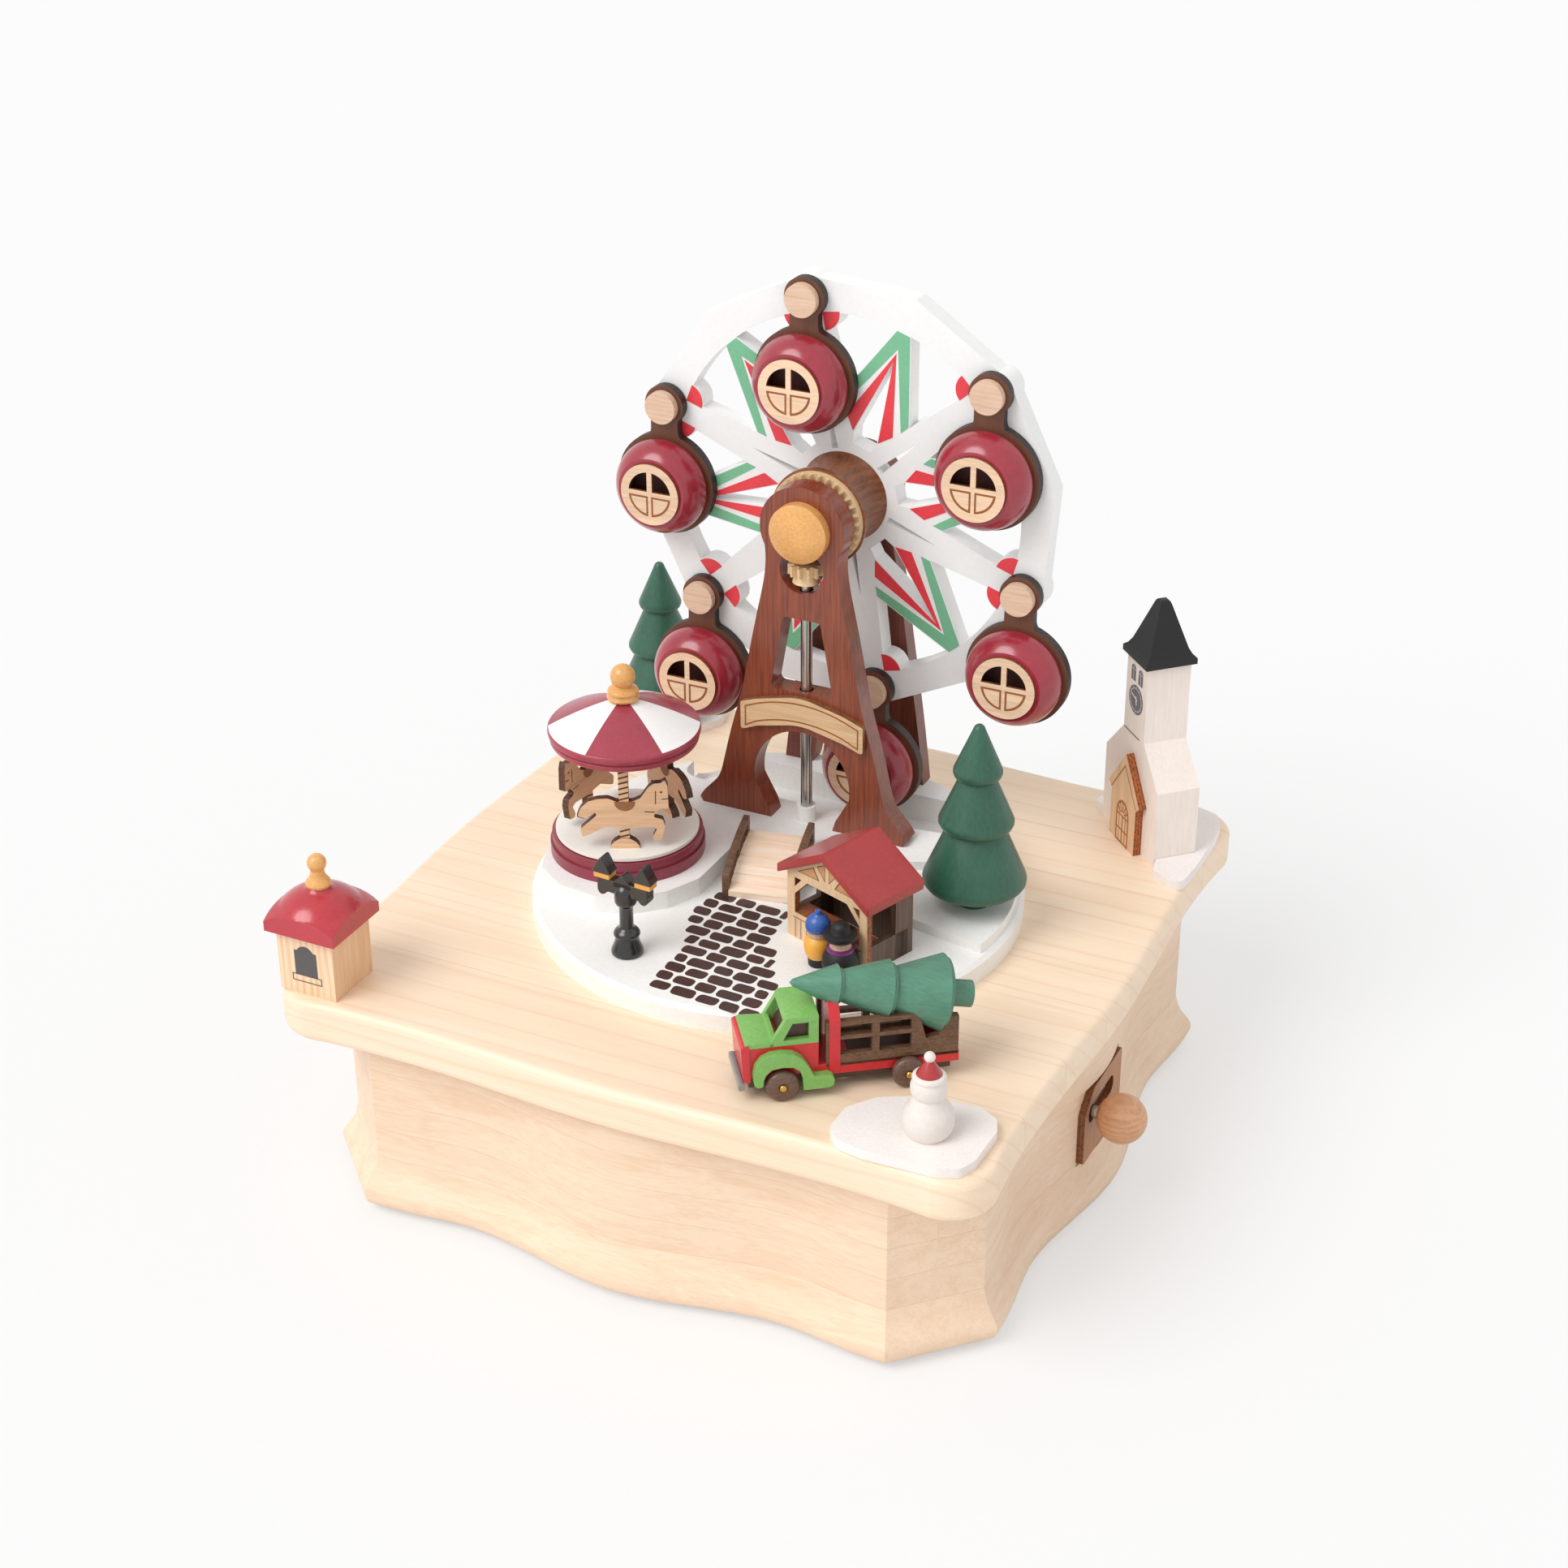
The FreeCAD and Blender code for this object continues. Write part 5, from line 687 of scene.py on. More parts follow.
horse = {"ring": 14.0, "thick": 2.2, "corner": 0.42, "start": -64.0, "line": 0.05, "pole": 1.45,
         "poleIn": 0.1,
         "stripe": 1.75, "stripeFrom": 3.8, "stripeUntil": 2.4, "stripeGap": (6.4, 15.0),
         "stripeSlant": (-0.35, 0.45, 1.0, 0.2), "footOut": 0.15,
         "body": [(13.0, 13.1), (10.5, 13.1), (8.8, 11.3), (8.6, 10.3), (11.2, 9.6), (11.8, 7.4), (10.9, 2.8),
                  (8.4, 2.6), (8.2, 3.9), (9.5, 6.4), (8.1, 7.2), (1.6, 6.7), (-5.5, 7.2), (-10.5, 4.6),
                  (-12.3, 3.9), (-12.8, 6.6), (-8.0, 11.0), (-8.4, 12.0), (-11.2, 9.9), (-13.5, 10.8),
                  (-12.6, 13.4), (-10.4, 15.6), (-7.7, 16.4), (-4.6, 16.6), (-2.0, 15.4), (2.2, 15.4),
                  (4.8, 16.6), (7.2, 20.2), (8.8, 21.4), (10.9, 21.6), (12.0, 22.6), (12.8, 20.6)],
         "foot": [(-4.3, 0), (4.3, 0), (4.1, 1.1), (3.2, 2.2), (1.8, 3.1), (0, 3.4), (-1.8, 3.1),
                  (-3.2, 2.2), (-4.1, 1.1)],
         "saddle": (3.1, 0.3, 15.5), "saddleLip": 0.1, "eye": (10.9, 18.6, 0.36), "strapWide": 0.28,
         "bridle": [((6.0, 12.2), (8.9, 12.0)), ((9.2, 14.6), (9.3, 19.0)), ((11.0, 16.2), (13.0, 16.5))]}


def strip(start, end, wide):  # a thin line drawn as a four-cornered outline
    side = (Vector(end) - Vector(start)).normalized().orthogonal() * wide / 2
    return [tuple(Vector(p) + side * s) for p, s in ((start, 1), (end, 1), (end, -1), (start, -1))]


def buildHorse(number):  # a cut board horse on its striped pole, with line work on both faces
    h = horse
    angle = h["start"] + 120 * number
    ring = math.radians(angle)
    x = carousel["x"] + h["ring"] * math.cos(ring)
    y = carousel["y"] + h["ring"] * math.sin(ring)
    put = at(x, y, carousel["disc"], angle + 90) @ move(0, h["thick"] / 2, 0) @ front
    piece = bmesh.new()
    fit(piece, board(h["body"], h["thick"], (), h["corner"], 3), put, 0)
    high = carousel["roofZ"] - carousel["disc"]
    wide = h["pole"]
    pole = [(-wide, 0), (wide, 0), (wide, high), (-wide, high)]
    fit(piece, board(pole, h["thick"] - 2 * h["poleIn"]), put @ move(0, 0, h["poleIn"]), 0)
    fit(piece, board(h["foot"], h["thick"] + 2 * h["footOut"]), put @ move(0, 0, -h["footOut"]), 0)
    for face, side in ((h["thick"], 1), (-h["line"], -1)):
        flat = put @ move(0, 0, face)
        radius, x, y = h["saddle"]
        saddle = [(x + h["saddleLip"] + radius, y)] + arc(radius, 0, -180, 14, (x, y))
        fit(piece, board(saddle, h["line"]), flat, 1)
        for start, end in h["bridle"]:
            fit(piece, board(strip(start, end, h["strapWide"]), h["line"]), flat, 2)
        x, y, radius = h["eye"]
        fit(piece, board(arc(radius, 0, 324, 9, (x, y)), h["line"]), flat, 2)
        rise = h["stripeFrom"]
        while rise < high - h["stripeUntil"]:
            if not h["stripeGap"][0] < rise < h["stripeGap"][1]:
                slant = [(x, rise + up) for x, up in zip((-wide, wide, wide, -wide), h["stripeSlant"])]
                fit(piece, board(slant, h["line"]), flat @ move(0, 0, -side * h["poleIn"]), 2)
            rise += h["stripe"]
    looks = ["horsePly%d" % number, "saddleWood", "burntWood"]
    replaced = ["carousel_horses"] if number == 0 else ()
    makePiece("carouselHorse%d" % (number + 1), piece, "carousel", looks, replaced, 0.0)


lamp = {"at": (-21.0, -54.5, 76.4), "turn": -3.5, "thick": 3.6,
        "post": [(0, 0), (4.3, 0), (4.6, 0.4), (4.6, 1.2), (4.3, 2.0), (3.9, 3.0), (3.5, 4.2), (3.3, 5.2),
                 (3.3, 5.6), (3.7, 5.9), (3.85, 6.5), (3.7, 7.1), (3.1, 7.8), (2.3, 8.2), (2.0, 8.6),
                 (2.0, 15.2),
                 (2.2, 15.6), (2.9, 16.2), (3.2, 16.9), (3.25, 17.5), (3.25, 20.2), (3.0, 21.0), (2.3, 21.9),
                 (1.3, 22.6), (0, 22.8)],
        "arms": [(-8.2, 23.3), (-8.2, 19.4), (-7.8, 18.5), (-6.9, 18.0), (-5.9, 18.3), (-5.2, 19.1),
                 (-4.4, 19.4),
                 (-3.4, 19.3), (3.4, 19.3), (4.4, 19.4), (5.2, 19.1), (5.9, 18.3), (6.9, 18.0), (7.8, 18.5),
                 (8.2, 19.4), (8.2, 23.3)],
        "peak": [(-3.0, 21.7), (3.0, 21.7), (3.0, 23.0), (0.4, 25.6), (-0.4, 25.6), (-3.0, 23.0)],
        "light": [(-2.6, 0), (2.6, 0), (2.6, 1.7), (-2.6, 1.7)],
        "cap": [(-2.85, 0), (2.85, 0), (2.85, 0.6), (0.35, 4.85), (-0.35, 4.85), (-2.85, 0.6)],
        "lightAt": 6.7, "lightZ": 23.3, "capZ": 1.65, "lightProud": 0.05, "capProud": 0.25}


def buildLamp():  # a turned post with a cut board through its head that carries two lanterns
    c = lamp
    x, y, z = c["at"]
    piece = bmesh.new()
    fit(piece, lathe(c["post"], 48), at(x, y, z), 0)
    put = at(x, y, z, c["turn"]) @ move(0, c["thick"] / 2, 0) @ front
    fit(piece, board(c["arms"], c["thick"]), put, 0)
    fit(piece, board(c["peak"], c["thick"]), put, 0)
    for side in (-1, 1):
        spot = put @ move(side * c["lightAt"], c["lightZ"], 0)
        light, cap = c["lightProud"], c["capProud"]
        fit(piece, board(c["light"], c["thick"] + 2 * light), spot @ move(0, 0, -light), 1)
        fit(piece, board(c["cap"], c["thick"] + 2 * cap), spot @ move(0, c["capZ"], -cap), 0)
    makePiece("streetLamp", piece, "base", ["blackGloss", "lampAmber"], ["street_lamp"], 0.18)


stall = {"at": (33.4, -22.5, 76.4), "turn": -20.0, "wide": 31.5, "deep": 18.5, "eave": 21.5, "ridge": 30.5,
         "wall": 2.0, "counter": (7.0, 8.4), "roofThick": 2.9, "over": 2.2,
         "opening": [(-12.75, 8.4), (12.75, 8.4), (12.75, 14.6), (7.8, 19.8), (-7.8, 19.8), (-12.75, 14.6)],
         "corner": [(12.8, 19.9), (10.1, 19.9), (12.8, 16.9)],
         "panels": [[(11.6, 22.3), (5.3, 26.1), (3.0, 22.5)], [(4.0, 26.9), (0.75, 28.7), (0.75, 23.1)]],
         "inner": 0.86, "planks": (3.2, 3, 2.25), "plankEnds": (0.4, 0.5), "railLine": (2.2, 0.2),
         "line": 0.05, "lineWide": 0.22, "counterDeep": 4.6, "counterOut": 2.2, "sideRise": 1.4,
         "postDeep": 5.0, "postShort": 0.2}


def buildStall():  # an open booth with a ruled front, a counter and a pitched roof
    c = stall
    x, y, z = c["at"]
    put = at(x, y, z, c["turn"])
    half = c["wide"] / 2
    fore = put @ move(0, -c["deep"] / 2 + c["wall"], 0) @ front
    piece = bmesh.new()
    gable = [(-half, 0), (half, 0), (half, c["eave"]), (0, c["ridge"]), (-half, c["eave"])]
    corners = [[(side * px, py) for px, py in c["corner"]] for side in (1, -1)]
    fit(piece, board(gable, c["wall"], [c["opening"]] + corners), fore, 0)
    flat = fore @ move(0, 0, c["wall"])
    for shape in c["panels"]:
        for side in (1, -1):
            outer = [(side * px, py) for px, py in shape]
            middle = Vector((sum(p[0] for p in outer) / 3, sum(p[1] for p in outer) / 3))
            inner = [tuple(middle + (Vector(p) - middle) * c["inner"]) for p in outer]
            fit(piece, board(outer, c["line"], [inner]), flat, 2)
            fit(piece, board(inner, c["line"] * 0.6), flat, 3)
    low, high = c["counter"]
    start, end, pitch = c["planks"]
    foot, head = c["plankEnds"]
    edge = -half + start
    while edge < half - end:
        fit(piece, board(strip((edge, foot), (edge, low - head), c["lineWide"]), c["line"]), flat, 2)
        edge += pitch
    inset, under = c["railLine"]
    rail = strip((-half + inset, low - under), (half - inset, low - under), c["lineWide"])
    fit(piece, board(rail, c["line"]), flat, 2)
    shelf = put @ move(0, -c["deep"] / 2 + c["wall"] + c["counterOut"], (low + high) / 2)
    fit(piece, bar(c["wide"] - 2 * c["wall"], c["counterDeep"], high - low - 0.1), shelf, 4)
    back = put @ move(0, c["deep"] / 2, 0) @ front
    fit(piece, board(gable, c["wall"]), back, 1)
    deep = c["deep"] - 2 * c["wall"]
    sill = low + c["sideRise"]
    post = c["eave"] - c["postShort"]
    for side in (-1, 1):
        across = put @ move(side * (half - c["wall"] / 2), 0, 0)
        fit(piece, bar(c["wall"], deep, sill), across @ move(0, 0, sill / 2), 1)
        fit(piece, bar(c["wall"], c["postDeep"], post), across @ move(0, (deep - c["postDeep"]) / 2,
                                                                      post / 2), 1)
    looks = ["stallPly", "stallWalnut", "burntWood", "stallPanel", "counterWood"]
    makePiece("stallHouse", piece, "base", looks, ["stall_house"], 0.12)
    roof = bmesh.new()
    slope = (c["ridge"] - c["eave"]) / half
    end = half + c["over"]
    low = c["eave"] - slope * c["over"]
    under = [(-end, low), (0, c["ridge"]), (end, low)]
    profile = under + [(x, y + c["roofThick"]) for x, y in reversed(under)]
    long = c["deep"] + 2 * c["over"]
    fit(roof, board(profile, long), put @ move(0, long / 2, 0) @ front, 0)
    makePiece("stallRoof", roof, "base", ["roofRed"], ["stall_roof"], 0.45, 12.0)


visitors = {"blueHat": (30.2, -36.9), "bowler": (38.6, -40.0), "ground": 76.4,
            "boots": [(0, 0), (2.5, 0), (2.75, 0.25), (2.9, 2.7)],
            "coat": [(2.9, 2.7), (3.5, 3.6), (3.95, 5.4), (3.95, 7.2), (3.5, 8.5), (2.6, 9.3)],
            "neck": [(2.6, 9.3), (2.85, 9.7), (2.95, 11.3)],
            "onion": [(2.95, 11.3), (3.35, 11.5), (3.6, 12.4), (3.5, 13.7), (2.9, 15.0), (1.9, 15.9),
                      (1.0, 16.3),
                      (0.85, 16.6), (0.95, 17.1), (0.7, 17.6), (0, 17.7)],
            "suit": [(0, 0), (3.4, 0), (4.1, 0.5), (5.0, 2.4), (5.3, 4.4), (5.15, 6.2), (4.4, 8.0),
                     (3.8, 8.7)],
            "collar": [(3.8, 8.7), (4.0, 9.1), (3.9, 9.7), (3.1, 10.0)],
            "bare": [(3.1, 10.0), (2.9, 10.3), (2.95, 12.3)],
            "hat": [(2.95, 12.3), (4.1, 12.4), (4.8, 13.0), (4.95, 13.7), (4.7, 14.3), (3.9, 14.55),
                    (3.1, 14.6),
                    (2.75, 15.2), (2.6, 16.2), (2.0, 17.1), (1.0, 17.5), (0, 17.6)]}


def buildVisitors():  # two turned pegs with painted coats and hats
    v = visitors
    piece = bmesh.new()
    for spot, rings in ((v["blueHat"], (("boots", 0), ("coat", 1), ("neck", 2), ("onion", 3))),
                        (v["bowler"], (("suit", 0), ("collar", 4), ("bare", 2), ("hat", 0)))):
        profile = [(0.0, 0.0)]
        zones = []
        for ring, slot in rings:
            profile += [p for p in v[ring] if p != profile[-1]]
            zones.append((profile[-1][1], slot))
        peg = lathe(profile, 40)
        for face in peg.faces:
            middle = face.calc_center_median().z
            face.material_index = next((slot for top, slot in zones if middle < top), zones[-1][1])
        fit(piece, peg, at(spot[0], spot[1], v["ground"]), None)
    makePiece("visitors", piece, "base", ["blackSatin", "coatYellow", "bareBeech", "hatBlue", "collarPurple"],
              ["figures"], 0.0, 50.0)


bridge = {"at": (-3.0, 0.0, 69.9), "turn": 12.0, "low": 6.5, "wide": 21.8, "thick": 1.6, "tread": 3.3,
          "deck": [(-13.5, 6.7), (-4, 10.7), (4, 12.5), (12.3, 13.4)], "rail": 1.9, "tall": 6.5, "lip": 0.35,
          "railDrop": 0.2, "legAt": (-12.4, 0.5), "leg": (2.0, 1.0), "legIn": 3,
          "openings": [[(-11.6, 9.5), (-4.2, 12.3), (-1.2, 13.0), (-1.2, 16.3), (-4.2, 15.5), (-11.6, 12.6)],
                       [(0.9, 13.4), (10.2, 14.6), (10.2, 17.8), (0.9, 16.8)]]}


def buildBridge():  # stepped treads between two pierced rails
    c = bridge
    put = at(*c["at"], c["turn"])
    across = put @ spun(90, "Z") @ front  # drawn along the bridge, its thickness across
    deck = c["deck"]
    half = c["wide"] / 2
    piece = bmesh.new()
    for a, b in zip(deck, deck[1:]):
        count = max(1, round((b[0] - a[0]) / c["tread"]))
        for i in range(count):
            left = a[0] + (b[0] - a[0]) * i / count
            right = a[0] + (b[0] - a[0]) * (i + 1) / count
            low = a[1] + (b[1] - a[1]) * i / count
            high = a[1] + (b[1] - a[1]) * (i + 1) / count
            lifted = low + c["thick"] + c["lip"]
            tread = [(left, low), (right, high), (right, high + c["thick"]), (left, lifted)]
            between = across @ move(0, 0, -half + c["rail"])
            fit(piece, board(tread, c["wide"] - 2 * c["rail"]), between, 0)
    side = [(x, y - c["railDrop"]) for x, y in deck] + [(x, y + c["tall"]) for x, y in reversed(deck)]
    for low in (-half, half - c["rail"]):
        fit(piece, board(side, c["rail"], c["openings"]), across @ move(0, 0, low), 1)
    back, up = c["legAt"]
    fit(piece, bar(c["wide"] - 2 * c["rail"] - c["legIn"], *c["leg"]), put @ move(0, back, c["low"] + up), 0)
    makePiece("bridgeDeck", piece, "base", ["deckWood", "railWalnut"], ["bridge"], 0.1)


path = {"ground": 76.4, "film": 0.06, "turn": -4.7, "rows": 11, "first": -16.4, "pitch": 4.95, "stagger": 2.6,
        "stone": (6.5, 4.05), "joint": 0.95, "least": 1.5, "corner": (1.25, 0.3), "wideWander": 1.0,
        "edgeWander": (0.2, 0.6), "tallWander": 0.25, "skew": 0.35,
        "left": [(-13.9, -12.0), (-17.8, -13.4), (-22.7, -14.6), (-28.6, -15.2), (-34.4, -12.7),
                 (-41.0, -9.2),
                 (-49.0, -7.5), (-56.6, -8.2), (-64.0, -8.6), (-69.0, -5.5)],
        "right": [(-15.7, 11.9), (-19.5, 11.2), (-23.5, 10.2), (-26.9, 13.2), (-32.8, 16.5), (-38.5, 18.6),
                  (-43.8, 18.6), (-48.5, 25.0), (-57.6, 25.0), (-64.7, 26.0), (-70.0, 26.0)]}


def edgeAt(points, where):  # how far out the path's edge lies at a depth
    points = sorted(points)
    for (a, x), (b, w) in zip(points, points[1:]):
        if a <= where <= b:
            return x + (w - x) * (where - a) / (b - a)
    return points[0][1] if where < points[0][0] else points[-1][1]


def buildPath():  # printed cobbles in running rows, wandering down to the edge of the island
    c = path
    piece = bmesh.new()
    lean = math.tan(math.radians(c["turn"]))
    for row in range(c["rows"]):
        y = c["first"] - row * c["pitch"]
        left, right = edgeAt(c["left"], y), edgeAt(c["right"], y)
        x = left - (c["stagger"] if row % 2 else 0.0)
        index = 0
        while x < right - 0.5:
            wobble = math.sin(row * 2.3 + index * 4.1)  # a fixed wander, the same on every run
            wide = c["stone"][0] + c["wideWander"] * wobble
            near, far = c["edgeWander"]
            start, end = max(x, left + near * wobble), min(x + wide, right + far * wobble)
            if end - start > c["least"]:
                tall = (c["stone"][1] + c["tallWander"] * math.sin(row * 1.7 + index * 2.9)) / 2
                middle = y + lean * (start + end) / 2
                skew = c["skew"] * math.sin(index * 3.3 + row)
                drop = lean * 3
                corners = [(start + skew, middle - tall), (end + skew * 0.4, middle - tall + drop),
                           (end - skew, middle + tall + drop), (start - skew * 0.5, middle + tall)]
                most, share = c["corner"]
                stone = board(corners, c["film"], (), min(most, (end - start) * share), 3)
                fit(piece, stone, at(0, 0, c["ground"]), 0)
            x += wide + c["joint"]
            index += 1
    makePiece("cobblePath", piece, "base", ["cobblePrint"], soften=0.0)


church = {"at": (86.57, 82.61, 69.9), "turn": -45.5, "half": 18.0, "deep": 14.0, "eave": 25.2,
          "shoulder": 36.8,
          "wall": 61.8, "towerHalf": 7.0, "line": 0.06, "thin": 0.03, "handLine": 0.04,
          "spire": [(8.3, 61.8), (8.3, 63.6), (7.2, 64.6), (6.2, 66.4), (1.9, 79.4), (1.5, 80.3),
                    (1.0, 80.6)],
          "clock": (0.0, 48.4, 4.7), "clockRing": (0.8, 0.76), "tick": (0.82, 0.92, 0.16),
          "hands": [((0.5, -1.6), (-0.1, 1.2), 0.5), ((-3.0, 1.2), (0.8, 0.0), 0.4)],
          "windows": ((-2.5, 54.0), (2.3, 54.0)), "window": (1.5, 5.2), "cross": (0.2, 0.3, 0.16),
          "slit": (-6.6, 3.8, 36.6, 0.42)}

churchDoor = {"thick": 2.6, "at": 1.0, "line": 0.06,
              "leaf": [(-8.5, 0), (8.5, 0), (8.5, 15.4), (10.7, 17.2), (0, 31.0), (-10.7, 17.2),
                       (-8.5, 15.4)],
              "slant": ((0, 27.0), (8.6, 15.9), 0.42), "upright": (2.1, 0.3, 12.0, 0.3),
              "frame": (4.3, 9.6, 5.2), "frameInner": (0.84, 0.6, 0.9), "bars": (4.6, 9.4), "barHalf": 4.1,
              "barWide": 0.5, "middle": (0.3, 9.6), "rays": (30, 60, 90, 120, 150), "rayWide": 0.46,
              "rayFrom": 1.2, "rayTo": (4.1, 4.7)}


def archFrame(half, high, rise):  # a window or door outline with a round head
    return [(-half, 0), (half, 0)] + [(x, high + y * rise / half) for x, y in arc(half, 0, 180, 10)]


def buildChurch():  # a stepped front with a capped tower, a printed clock and two windows
    c = church
    put = at(*c["at"], c["turn"])
    fore = put @ move(0, c["deep"] / 2, 0) @ front
    piece = bmesh.new()
    half, narrow = c["half"], c["towerHalf"]
    right = [(half, 0), (half, c["eave"]), (narrow, c["shoulder"]), (narrow, c["wall"])]
    wall = right + [(-px, pz) for px, pz in reversed(right)]
    fit(piece, board(wall[-1:] + wall[:-1], c["deep"]), fore, 0)
    fit(piece, tower(c["spire"]), put, 1)
    flat = fore @ move(0, 0, c["deep"])
    cx, cz, radius = c["clock"]
    spot = flat @ move(cx, cz, 0)
    fit(piece, board(roundOf(radius), c["line"]), spot, 2)
    ring = spot @ move(0, 0, c["line"])
    outer, inner = c["clockRing"]
    fit(piece, board(roundOf(radius * outer), c["thin"], [roundOf(radius * inner)]), ring, 3)
    start, end, wide = c["tick"]
    for hour in range(12):
        way = Vector((math.cos(math.radians(hour * 30)), math.sin(math.radians(hour * 30))))
        fit(piece, board(strip(way * radius * start, way * radius * end, wide), c["thin"]), ring, 3)
    for hand in c["hands"]:
        fit(piece, board(strip(*hand), c["handLine"]), ring, 4)
    wide, tall = c["window"]
    foot, head, line = c["cross"]
    for wx, wz in c["windows"]:
        spot = flat @ move(wx, wz, 0)
        fit(piece, board(archFrame(wide, tall - wide, wide), c["line"]), spot, 2)
        cross = spot @ move(0, 0, c["line"])
        fit(piece, board(strip((0, foot), (0, tall - head), line), c["thin"]), cross, 4)
        fit(piece, board(strip((-wide, tall - wide), (wide, tall - wide), line), c["thin"]), cross, 4)
    left, end, height, wide = c["slit"]
    fit(piece, board(strip((left, height), (end, height), wide), c["line"]), flat, 5)
    looks = ["whiteWash", "blackSatin", "greyPrint", "whiteLine", "whiteLine", "darkLine"]
    makePiece("churchBlock", piece, "base", looks, ["church"], 0.3)
    buildChurchDoor(flat)


def buildChurchDoor(flat):  # a pointed board on the church's face, ruled with burnt lines
    d = churchDoor
    piece = bmesh.new()
    leaf = flat @ move(d["at"], 0, 0)
    fit(piece, board(d["leaf"], d["thick"]), leaf, 0)
    face = leaf @ move(0, 0, d["thick"])

    def rule(start, end, wide):
        fit(piece, board(strip(start, end, wide), d["line"]), face, 1)

    peak, (out, low), slantWide = d["slant"]
    x, foot, head, wide = d["upright"]
    for side in (-1, 1):
        rule(peak, (side * out, low), slantWide)
        rule((side * x, foot), (side * x, head), wide)
    frame = archFrame(*d["frame"])
    narrow, lift, short = d["frameInner"]
    fit(piece, board(frame, d["line"], [[(px * narrow, lift + py * short) for px, py in frame]]), face, 1)
    for height in d["bars"]:
        rule((-d["barHalf"], height), (d["barHalf"], height), d["barWide"])
    foot, spring = d["middle"]
    rule((0, foot), (0, spring), d["barWide"])
    start, (across, up) = d["rayFrom"], d["rayTo"]
    for angle in d["rays"]:
        a = math.radians(angle)
        inner = (start * math.cos(a), spring + start * math.sin(a))
        rule(inner, (across * math.cos(a), spring + up * math.sin(a)), d["rayWide"])
    makePiece("churchDoor", piece, "base", ["doorPly", "doorLine"], soften=0.12)


booth = {"at": (-96.0, -94.5, 69.9), "side": 18.4, "tall": 19.3, "roof": 23.0, "rise": 11.8, "line": 0.06,
         "dome": [(17.25, 0), (17.25, 1.6), (11.5, 6.0), (5.2, 10.2), (3.0, 11.8)],
         "bows": ((0.7, 10), (0.5, 8), (-0.3, 5)), "ball": (2.75, 18.7),
         "finial": [(0, 11.5), (3.2, 11.5), (3.6, 11.9), (3.7, 12.5), (3.4, 13.2), (2.7, 14.0), (2.3, 14.8),
                    (2.0, 15.8), (1.95, 16.4)],
         "window": [(-3.7, 6.2), (3.7, 6.2), (3.7, 14.0), (2.7, 14.1), (2.0, 15.0), (1.0, 15.6), (0, 15.8),
                    (-1.0, 15.6), (-2.0, 15.0), (-2.7, 14.1), (-3.7, 14.0)],
         "sill": [(-4.9, 3.9), (4.9, 3.9), (4.9, 6.3), (-4.9, 6.3)], "sillInner": (0.935, 0.74, 5.1)}


def buildBooth():  # a square block under a turned dome that is sliced square
    c = booth
    put = at(*c["at"])
    piece = bmesh.new()
    fit(piece, bar(c["side"], c["side"], c["tall"]), put @ move(0, 0, c["tall"] / 2), 0)
    dome = c["dome"]
    profile = [(0, 0), dome[0], dome[1]]
    for start, end, (rise, count) in zip(dome[1:], dome[2:], c["bows"]):
        profile += bow(start, end, rise, count)
    roof = lathe(profile + [(0, c["rise"])], 96, math.radians(45))
    bmesh.ops.remove_doubles(roof, verts=roof.verts, dist=0.002)
    for normal in ((1, 0, 0), (-1, 0, 0), (0, 1, 0), (0, -1, 0)):
        plane = tuple(n * c["roof"] / 2 for n in normal)
        cut = bmesh.ops.bisect_plane(roof, geom=roof.verts[:] + roof.edges[:] + roof.faces[:],
                                     plane_co=plane, plane_no=normal, clear_outer=True)
        rim = [e for e in cut["geom_cut"] if isinstance(e, bmesh.types.BMEdge)]
        bmesh.ops.edgeloop_fill(roof, edges=rim)
    top = put @ move(0, 0, c["tall"])
    fit(piece, roof, top, 1)
    radius, centre = c["ball"]
    fit(piece, lathe(c["finial"] + arc(radius, -42, 90, 12, (0, centre)), 40), top, 2)
    flat = put @ move(0, -c["side"] / 2, 0) @ front
    fit(piece, board(c["window"], c["line"]), flat, 3)
    across, up, middle = c["sillInner"]
    inner = [(px * across, middle + (py - middle) * up) for px, py in c["sill"]]
    fit(piece, board(c["sill"], c["line"], [inner]), flat, 3)
    makePiece("ticketBooth", piece, "base", ["boothMaple", "boothRed", "goldPaint", "darkPrint"], ["booth"],
              0.3)


snowman = {"at": (87.8, -92.9, 72.9), "body": (6.95, 4.3), "head": (4.9, 14.1),
           "brim": [(3.3, 16.6), (4.2, 16.5), (4.55, 17.1), (4.4, 17.7), (3.5, 18.2)],
           "hat": [(3.5, 17.9), (3.4, 18.4), (2.3, 20.1), (1.2, 21.9), (0.8, 22.4)], "bobble": (1.5, 23.2),
           "headTop": [(3.0, 17.4), (0, 17.4)], "brimTop": (0, 18.0), "hatTop": (0, 22.5)}


def buildSnowman():  # two turned balls under a pointed hat with a rolled brim
    c = snowman
    put = at(*c["at"])
    piece = bmesh.new()
    radius, centre = c["body"]
    low = math.degrees(math.asin(-centre / radius))
    body = [(0, 0)] + arc(radius, low, 42, 16, (0, centre))
    radius, centre = c["head"]
    head = arc(radius, -32, 40, 12, (0, centre))
    fit(piece, lathe(body + head + c["headTop"], 64), put, 0)
    fit(piece, lathe(c["brim"] + [c["brimTop"]], 48), put, 0)
    fit(piece, lathe(c["hat"] + [c["hatTop"]], 48), put, 1)
    radius, centre = c["bobble"]
    fit(piece, lathe(arc(radius, -90, 90, 14, (0, centre)), 32), put, 0)
    makePiece("turnedSnowman", piece, "base", ["snowmanWhite", "roofRed"], ["snowman"], 0.0, 50.0)


